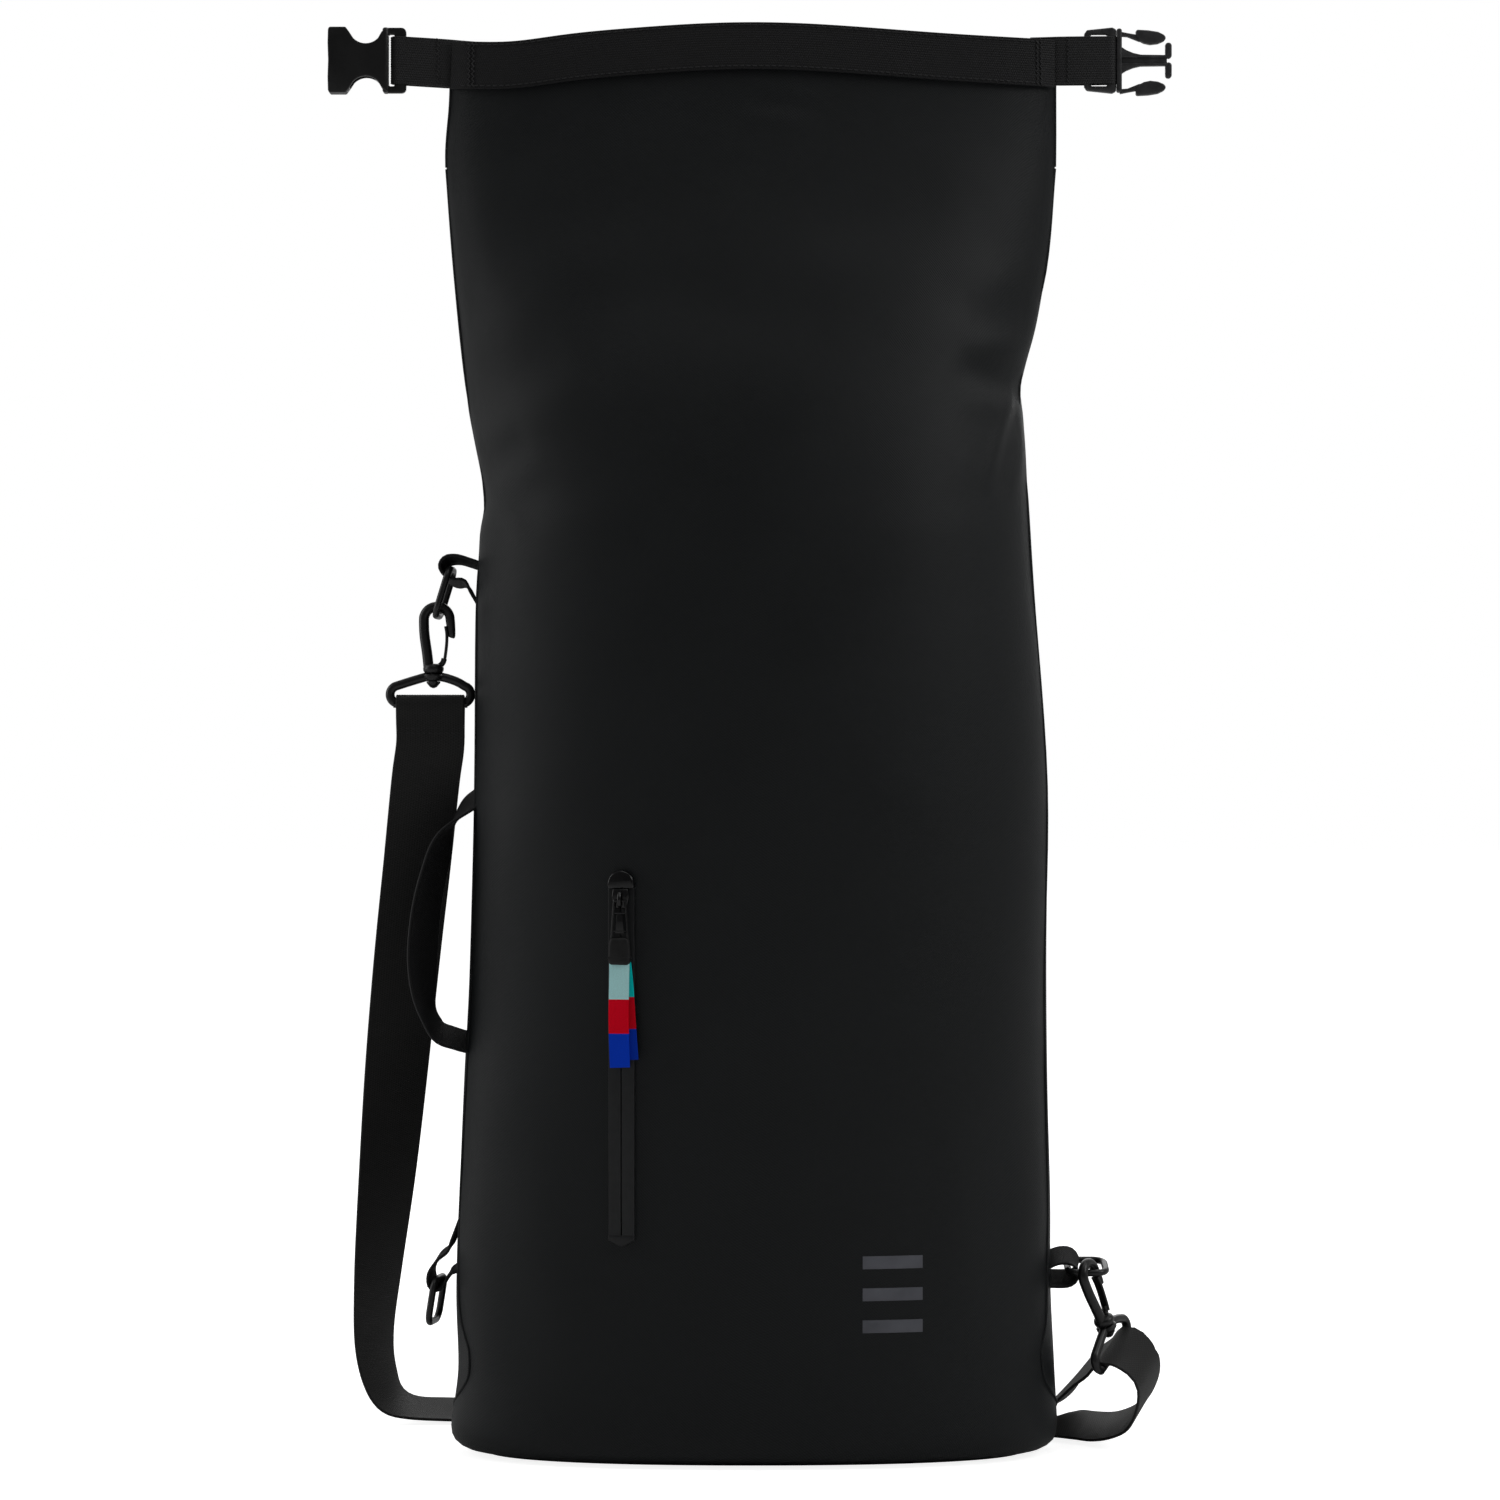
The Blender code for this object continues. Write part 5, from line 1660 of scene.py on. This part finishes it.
@dataclass
class SideFittings(Assembly):
    """The webbing tabs on the side seams with their rings, the grab handle and the printed mark.

    Attributes:
        skin: the bag's skin.
        tab: webbing of the tabs.
        handle: webbing of the grab handle.
        wire: radius of the rings' wire.
    """

    skin: Skin
    tab: Webbing = Webbing(19.0, 1.7, 14, 0.24, 1.6)
    handle: Webbing = Webbing(25.0, 1.7, 19, 0.24, 2.0)
    wire: float = 1.8

    def _tab(self, name: str, node: str, lean: Vector, route: list) -> None:
        """A webbing tab on a side seam.

        Args:
            name: the piece's name.
            node: the node that it takes the place of.
            lean: the way that its width lies.
            route: its (x, z) points in the plane of the seam.
        """
        piece, _ = self.tab.along(name, [(Vector((x, 0.0, z)), lean) for x, z in route])
        self.dress(piece, TAPE, "ribbed_webbing", Body.BAG.value, node, angle=60)

    def _ring(self, name: str, node: str, ends: tuple, body: str, side: Vector = ACROSS) -> None:
        """A round-cornered loop of moulded wire.

        Args:
            name: the piece's name.
            node: the node that it takes the place of.
            ends: the middles of its two end bars.
            body: the body that it rides on.
            side: the way that its end bars lie.
        """
        near, far = ends
        along = (far - near).normalized()
        length = (far - near).length
        outline = rounded(-RING_REACH, 0.0, RING_REACH, length, 6.2, 10)
        ring = [near + side * u + along * v for u, v in outline]
        across = side.cross(along)
        piece = tube(name, ring, self.wire, across, closed=True, around=18)
        self.dress(piece, ACETAL, "moulded_plastic", body, node, angle=50)

    def _print(self) -> None:
        """Three plain printed bars, low on the right of the front."""
        bars = []
        for k in range(3):
            low = 70.0 + 16.4 * k
            rows = []
            for z in (low, low + 2.2, low + 4.4, low + 6.6):
                rows.append([self.skin.on_front(56.0 + 31.0 * n / 16, z, 0.12) for n in range(17)])
            bar = loft("bar", rows, closed=False)
            ink = bar.modifiers.new("ink", "SOLIDIFY")
            ink.thickness = 0.12 * MM
            ink.offset = 1.0
            apply_modifiers(bar)
            bars.append(bar)
        mark = join("printed_bars", bars)
        self.paint.on(smooth(mark, 40), INK)
        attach(mark, Body.BAG.value)

    def build(self) -> None:
        """Builds the side fittings."""
        self._tab("upper_loop", "upper_left_tab", Vector((0.10, 0.96, -0.21)), [
            (-142.4, 441.0), (-147.0, 449.0), (-151.0, 455.6), (-156.5, 456.4), (-161.4, 459.0),
            (-163.4, 464.0), (-160.6, 468.0), (-155.0, 468.6), (-149.0, 467.0), (-141.4, 464.4),
        ])
        self._ring("upper_ring_wire", "upper_left_ring", UPPER_RING, "upper_ring", Vector((0.06, 0.998, 0.0)))
        self._tab("lower_loop", "lower_left_tab", Vector((0.14, 0.96, 0.20)), [
            (-153.4, 122.0), (-157.2, 112.0), (-159.6, 106.6), (-165.0, 101.6), (-169.0, 94.8),
            (-168.6, 88.4), (-165.0, 86.6), (-161.2, 89.6), (-158.6, 94.0), (-153.0, 97.4),
        ])
        self._ring("free_ring_wire", "lower_left_ring", FREE_RING, "free_ring", TURNED_SIDE)
        self._tab("hook_loop", "lower_right_tab", Vector((0.06, 0.92, 0.38)), [
            (153.2, 99.0), (160.0, 102.0), (166.0, 102.2), (169.4, 99.4), (170.2, 95.4),
            (168.0, 91.6), (163.6, 90.2), (153.4, 90.4),
        ])
        self._ring("hook_ring_wire", "lower_right_ring", LOWER_RING, "lower_ring", LOWER_RING_SIDE)
        handle, _ = self.handle.along("grab_strap", [
            (Vector((-142.0, -4.0, 345.5)), Vector((0.0, 0.90, 0.42))),
            (Vector((-151.5, -6.0, 337.0)), Vector((0.10, 0.87, 0.44))),
            (Vector((-161.5, -9.0, 322.0)), Vector((0.42, 0.85, 0.30))),
            (Vector((-167.5, -11.0, 303.0)), Vector((0.50, 0.85, 0.14))),
            (Vector((-171.5, -12.0, 283.0)), Vector((0.54, 0.84, 0.0))),
            (Vector((-173.2, -12.0, 262.0)), Vector((0.56, 0.83, 0.0))),
            (Vector((-172.8, -12.0, 245.0)), Vector((0.46, 0.88, -0.05))),
            (Vector((-170.4, -11.0, 231.0)), Vector((0.30, 0.94, -0.08))),
            (Vector((-165.0, -9.0, 221.0)), Vector((0.22, 0.93, 0.22))),
            (Vector((-156.5, -6.0, 217.0)), Vector((0.05, 0.93, 0.36))),
            (Vector((-146.5, -4.0, 214.0)), Vector((0.0, 0.93, 0.36))),
        ])
        self.dress(handle, TAPE, "ribbed_webbing", Body.BAG.value, "grab_handle", angle=60)
        self._print()


# --- The strap and its snap hooks -----------------------------------------------------------------

SWIVEL_X = -2.2
BAR_Z = -46.0
BAR_RADIUS = 2.4


@dataclass
class SnapHook(Assembly):
    """A moulded snap hook on a swivel, with its leaf gate and the loop for the strap.

    Attributes:
        side: upper or lower, as in the names of its nodes and bodies.
        place: its frame: x from spine to nose, z up its long axis, the ring's bar at the origin.
    """

    side: str
    place: Matrix

    def _carry(self, piece: bpy.types.Object, node: str, body: str) -> None:
        """Dresses a piece of the hook.

        Args:
            piece: the piece.
            node: its node's name, without the side.
            body: its body's name, without the side.
        """
        self.dress(piece, ACETAL, "moulded_plastic", f"{self.side}_{body}", f"{self.side}_hook_{node}")

    def build(self) -> None:
        """Builds the hook's body, gate and loop."""
        place = self.place
        depth = place.to_3x3() @ ACROSS
        arch = [(x, 0.0, z) for x, z in arc((-0.3, -1.9), 6.9, 180, 0, 10)]
        spine = [(SWIVEL_X - 2.4, 0.0, -28.6), (-5.5, 0.0, -20.0), (-6.9, 0.0, -10.0)]
        nose = [(7.0, 0.0, -5.5), (7.5, 0.0, -10.6), (7.4, 0.0, -11.6)]
        points = [place @ p for p in smooth_path([*spine, *arch, *nose], 4)]
        count = len(points)
        radii = []
        for k in range(count):
            t = k / (count - 1)
            bar = 2.75 - 0.35 * t
            tip = max(0.0, (t - 0.8) / 0.2)
            radii.append(bar * (1 - 0.62 * tip**2.5))
        bow = tube("bow", points, radii, depth, around=20)
        shift = place @ Matrix.Translation((SWIVEL_X, 0, 0))
        foot = turned("foot", [
            (1.6, -25.0), (4.2, -25.4), (5.2, -26.4), (5.5, -27.6), (5.3, -29.0), (4.5, -29.9), (2.2, -30.2),
            (2.0, -34.3), (3.7, -34.5), (3.6, -35.3), (1.8, -37.4), (0.4, -38.0),
        ], shift)
        root_line = [(SWIVEL_X, 0.0, -27.6), (0.4, 0.0, -26.6), (2.6, 0.0, -24.8), (3.5, 0.0, -22.4)]
        ear = tube("ear", [place @ Vector(p) for p in smooth_path(root_line, 4)], 1.5, depth, around=14)
        self._carry(join(f"{self.side}_snap_bow", [bow, foot, ear]), "body", "hook")

        leaf = [(3.3, -25.0), (4.1, -20.5), (4.8, -14.0), (4.8, -9.0), (4.2, -5.4)]
        stations = [(place @ Vector((x, 0.0, z)), depth) for x, z in leaf]
        gate, _ = Webbing(4.4, 1.5, 0, 0.0, 0.8).along(f"{self.side}_snap_leaf", stations)
        self._carry(gate, "gate", "gate")

        left, right = -27.4 + BAR_RADIUS, 19.8 - BAR_RADIUS
        loop = [
            (SWIVEL_X - 4.0, -32.0), (SWIVEL_X - 12.0, -34.4),
            *arc((left + 4.7, BAR_Z + 4.7), 4.7, 108, 270, 9),
            *arc((right - 4.7, BAR_Z + 4.7), 4.7, 270, 432, 9),
            (SWIVEL_X + 12.0, -34.4), (SWIVEL_X + 4.0, -32.0),
        ]
        ring = [place @ p for p in smooth_path([(x, 0.0, z) for x, z in [*loop, loop[0]]], 3)[:-1]]
        wire = tube("wire", ring, BAR_RADIUS, depth, closed=True, around=18)
        boss = turned("boss", [
            (2.1, -30.5), (4.7, -30.6), (5.5, -31.4), (5.4, -32.6), (4.4, -33.8), (2.1, -34.1),
        ], shift)
        self._carry(join(f"{self.side}_snap_loop", [wire, boss]), "triangle", "clip")


@dataclass
class ShoulderStrap(Assembly):
    """The shoulder strap, sewn to the upper hook's loop and run through a slider to the lower hook.

    Attributes:
        upper: the upper hook's frame.
        lower: the lower hook's frame.
        tape: the strap's webbing.
        slider: middle of the slider, on the floor behind the bag.
        floor_layer: height of the middle of webbing that lies on the floor.
    """

    upper: Matrix
    lower: Matrix
    tape: Webbing = Webbing(36.0, 1.7, 26, 0.14, 3.2)
    slider: Vector = field(default_factory=lambda: Vector((95.0, 112.0, 0.0)))
    floor_layer: float = 1.3

    def _beside_bar(self, place: Matrix, forward: float, up: float) -> Vector:
        """A point beside a loop's bar: forward across the hook's plane, up towards the hook."""
        return place @ Vector(((-27.4 + 19.8) / 2, forward, BAR_Z + up))

    def _through(self) -> list:
        """The stretch that runs over the slider's middle bar."""
        return [
            (self.slider + Vector((x, 0.0, z)), ACROSS)
            for x, z in (
                (-29.0, 1.5), (-22.0, 2.1), (-16.0, 3.2), (-11.4, 6.8), (-7.4, 10.6),
                (-2.0, 12.4), (3.6, 12.0), (8.2, 8.2), (12.6, 4.3), (20.0, 3.5),
            )
        ]

    def long_run(self) -> list:
        """Stations from the sewn end, over the upper bar, down the left and behind the bag to the slider."""
        over = BAR_RADIUS + 0.6 + 0.9
        flat = Vector((1.0, 0.0, 0.0))
        folded = [
            (1.5, -18.0), (1.6, -13.0), (2.7, -6.5), (over, -1.0), (over * 0.76, over * 0.76),
            (0.0, over), (-over * 0.76, over * 0.76), (-over, -1.0), (-2.6, -8.0), (-1.4, -22.0),
        ]
        top = [(self._beside_bar(self.upper, forward, up), flat) for forward, up in folded]
        run = [
            ((-172.6, 3.2, 352.0), (1, 0.08, 0.05)),
            ((-177.5, 13.0, 310.0), (1, 0.15, 0.05)),
            ((-183.5, 25.0, 262.0), (0.97, 0.25, 0.05)),
            ((-190.0, 41.0, 205.0), (0.93, 0.37, 0.08)),
            ((-197.0, 61.0, 140.0), (0.83, 0.55, 0.15)),
            ((-203.5, 80.0, 84.0), (0.66, 0.72, 0.20)),
            ((-206.5, 96.0, 45.0), (0.50, 0.82, 0.30)),
            ((-202.0, 107.0, 20.0), (0.30, 0.90, 0.42)),
            ((-190.0, 112.0, 8.0), (0.05, 0.98, 0.21)),
            ((-168.0, 114.0, 5.6), (0.02, 0.98, 0.20)),
            ((-140.0, 115.0, 5.8), (0.0, 0.98, 0.20)),
            ((-95.0, 115.0, 4.2), (0.0, 1.0, 0.12)),
            ((-40.0, 114.0, 2.0), (0.0, 1.0, 0.02)),
            ((10.0, 112.6, self.floor_layer), (0.0, 1.0, 0.0)),
            ((50.0, 112.0, self.floor_layer), (0.0, 1.0, 0.0)),
        ]
        return [*top, *[(Vector(p), Vector(way)) for p, way in run], *self._through()[:8]]

    def short_run(self) -> list:
        """Stations from the slider, round the lower hook's bar and back to the slider's middle bar."""
        over = BAR_RADIUS + 0.6 + 0.9
        bar = self.lower.to_3x3() @ Vector((1.0, 0.0, 0.0))
        inner = [
            ((133.0, 105.0, 4.2), (0.30, 0.95, 0.0)),
            ((149.0, 88.0, 8.0), (0.58, 0.80, 0.05)),
            ((161.0, 64.0, 16.5), (0.48, 0.86, 0.15)),
            ((168.0, 40.0, 28.0), (0.36, 0.90, 0.22)),
            ((176.0, 20.0, 40.0), (0.34, 0.87, 0.32)),
        ]
        beside = [
            (9.0, -2.6), (over * 0.80, over * 0.62), (0.0, over), (-over * 0.80, over * 0.70), (-8.0, 1.2),
        ]
        around = [(self._beside_bar(self.lower, forward, up), bar) for forward, up in beside]
        outer = [
            ((206.0, -8.0, 44.5), (0.40, 0.87, 0.28)),
            ((207.5, 2.0, 30.0), (0.32, 0.93, 0.16)),
            ((202.0, 16.0, 16.5), (0.24, 0.94, 0.22)),
            ((188.0, 33.0, 8.2), (0.30, 0.92, 0.25)),
            ((168.0, 50.0, 6.9), (0.42, 0.87, 0.24)),
            ((158.5, 65.0, 5.2), (0.49, 0.86, 0.14)),
            ((149.0, 80.0, 2.9), (0.55, 0.83, 0.03)),
            ((131.0, 103.0, self.floor_layer), (0.32, 0.95, 0.0)),
        ]
        sewn_end = [
            (self.slider + Vector((x, 0.0, z)), ACROSS)
            for x, z in (
                (22.0, 1.3), (13.0, 1.4), (6.0, 2.6), (0.0, 3.1), (-3.7, 3.8),
                (-4.7, 6.2), (-3.7, 8.6), (-0.5, 9.2), (2.2, 9.2),
            )
        ]
        return [
            *self._through()[7:],
            *[(Vector(p), Vector(way)) for p, way in inner],
            *around,
            *[(Vector(p), Vector(way)) for p, way in outer],
            *sewn_end,
        ]

    def _lay(self, name: str, stations: list, nodes: tuple, with_pieces: list) -> bpy.types.Object:
        """Args:
            name: the piece's name.
            stations: its route.
            nodes: the nodes that it stands for.
            with_pieces: not used.

        Returns:
            The stretch.
        """
        strap, line = self.tape.along(name, stations)
        self.paint.on(smooth(strap, 60), STRAP)
        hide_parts(*nodes)
        return strap

    def build(self) -> None:
        """Builds the strap's two stretches, its slider and the stitching of its upper sewn end."""
        frame_outline = rounded(-20, -24, 20, 24, 4.0)
        at = Matrix.Translation(self.slider + Vector((0.0, 0.0, 6.2)))
        slider = slab("strap_glide", frame_outline, 1.5, at, 0.0)
        for low, high in ((-15.5, -2.6), (2.6, 15.5)):
            cut(slider, slab("slot", rounded(low, -19.6, high, 19.6, 1.2), 4.0, at, 0.0))
        soften(slider, 0.8, 3)
        self.dress(slider, ACETAL, "moulded_plastic", Body.BAG.value, "strap_slider", angle=30)

        nodes = ("shoulder_strap", "strap_upper_end")
        long_run = self._lay("strap_long_run", self.long_run(), nodes, [slider])
        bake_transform(long_run)
        nodes = ("strap_fixed_run", "strap_lower_end")
        short_run = self._lay("strap_short_run", self.short_run(), nodes, [])
        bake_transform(short_run)

        thread = Thread(2.4, 0.26, 3.0)
        sewn = []
        left, right, low, high = -184.6, -152.4, 377.4, 379.9
        for z in (low, high):
            xs = [left + thread.pitch * k for k in range(int((right - left) / thread.pitch) + 1)]
            sewn.append([(Vector((x, -2.9, z)), Vector((1, 0, 0))) for x in xs])
        box_stitch = self.paint.on(thread.sew("strap_stitching", sewn), THREAD)
        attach(box_stitch, "upper_clip")


def hook_places() -> tuple[Matrix, Matrix]:
    """The frames of the upper and lower snap hooks, from the rings that they hang on."""
    side = LOWER_RING_SIDE
    eye = LOWER_RING[0] + (LOWER_RING[1] - LOWER_RING[0]) * 0.53 - side * RING_REACH
    up = Vector((-0.34, -0.30, 0.89)).normalized()
    across = Vector((0.43, 0.79, 0.43))
    across = (across - up * across.dot(up)).normalized()
    turn = Matrix((across, up.cross(across), up)).transposed().to_4x4()
    return Matrix.Translation(UPPER_RING[1]), Matrix.Translation(eye + up * 0.25) @ turn


# --- The studio -----------------------------------------------------------------------------------


@dataclass
class Studio:
    """A pale floor, soft light and the camera.

    Attributes:
        distance: from the camera to the middle of the bag.
        eye: the camera's height.
        span: width of the view at the middle of the bag.
        front_glow: strength of the world behind the camera.
        rear_glow: its strength behind the bag.
    """

    distance: float = 2.5
    eye: float = 0.3684
    span: float = 0.7895
    front_glow: float = 0.10
    rear_glow: float = 0.42

    def camera(self) -> None:
        """Sets the camera level in front of the bag."""
        data = bpy.data.cameras.new("camera")
        data.sensor_width = 36.0
        data.lens = data.sensor_width * self.distance / self.span
        camera = bpy.data.objects.new("camera", data)
        camera.location = (-0.0016, -self.distance, self.eye)
        camera.rotation_euler = (math.radians(90), 0, 0)
        bpy.context.scene.collection.objects.link(camera)
        bpy.context.scene.camera = camera

    def _light(self, name: str, at: tuple, towards: tuple, size: tuple, power: float) -> None:
        """A soft rectangular light.

        Args:
            name: the light's name.
            at: where it stands.
            towards: what it points at.
            size: its width and height.
            power: its power in watts.
        """
        data = bpy.data.lights.new(name, "AREA")
        data.shape = "RECTANGLE"
        data.size, data.size_y = size
        data.energy = power
        light = bpy.data.objects.new(name, data)
        light.location = at
        light.rotation_euler = (Vector(towards) - Vector(at)).to_track_quat("-Z", "Y").to_euler()
        bpy.context.scene.collection.objects.link(light)

    def _floor(self) -> None:
        """A pale floor that the camera sees as bright as the backdrop, but for the bag's soft shadow."""
        deselect()
        bpy.ops.mesh.primitive_plane_add(size=30.0, location=(0, 0, -0.0005))
        floor = bpy.context.object
        floor.name = "floor"
        material = bpy.data.materials.new("pale_floor")
        material.use_nodes = True
        graph = Graph(material.node_tree)
        shader = material.node_tree.nodes["Principled BSDF"]
        shader.inputs["Base Color"].default_value = (0.80, 0.80, 0.80, 1.0)
        shader.inputs["Roughness"].default_value = 0.9
        shader.inputs["Specular IOR Level"].default_value = 0.1
        shader.inputs["Emission Color"].default_value = (1, 1, 1, 1)
        seen = graph.add("ShaderNodeLightPath").outputs["Is Camera Ray"]
        glow = graph.spread(seen, 0.0, 1.0, 0.0, 0.86)
        material.node_tree.links.new(glow, shader.inputs["Emission Strength"])
        floor.data.materials.append(material)

    def _world(self) -> None:
        """A white backdrop, dim behind the camera and brighter to the sides and above."""
        world = bpy.data.worlds.new("studio")
        bpy.context.scene.world = world
        world.use_nodes = True
        graph = Graph(world.node_tree)
        back = world.node_tree.nodes["Background"]
        seen = graph.add("ShaderNodeLightPath").outputs["Is Camera Ray"]
        way = graph.add("ShaderNodeTexCoord").outputs["Generated"]
        parts = graph.add("ShaderNodeSeparateXYZ", Vector=way)
        depth = graph.spread(parts.outputs[1], -0.9, 0.5, self.front_glow, self.rear_glow)
        lit = graph.math("MULTIPLY", depth, graph.math("SUBTRACT", 1.0, seen))
        world.node_tree.links.new(graph.math("ADD", lit, seen), back.inputs["Strength"])
        back.inputs["Color"].default_value = (1.0, 1.0, 1.0, 1.0)

    def build(self) -> None:
        """Builds the floor, the world and the lights."""
        self._floor()
        self._world()
        self._light("overhead", (0.3, -0.3, 2.4), (0, 0, 0.5), (1.8, 1.2), 6)
        self._light("right_key", (2.0, -0.85, 1.9), (0.05, 0, 0.6), (1.0, 1.3), 15)
        self._light("left_rim", (-2.0, -0.1, 1.0), (-0.1, 0, 0.4), (0.7, 1.8), 9)
        self._light("rear_fill", (0.2, 2.0, 1.4), (0, 0, 0.4), (2.0, 1.4), 12)
        bpy.context.scene.view_settings.view_transform = "Standard"


def main() -> None:
    """Builds the whole bag around the frame."""
    studio = Studio()
    studio.camera()
    paint = Paint()
    skin = Skin()
    upper, lower = hook_places()
    for assembly in (
        ShoulderStrap(paint, upper, lower),
        Shell(paint, skin),
        Mouth(paint, skin),
        Buckle(paint),
        Zip(paint, skin),
        SideFittings(paint, skin),
        SnapHook(paint, "upper", upper),
        SnapHook(paint, "lower", lower),
    ):
        assembly.build()
    studio.build()
    deselect()


if __name__ == "__main__":
    logging.basicConfig(level=logging.INFO, format="%(message)s")
    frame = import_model()
    main()
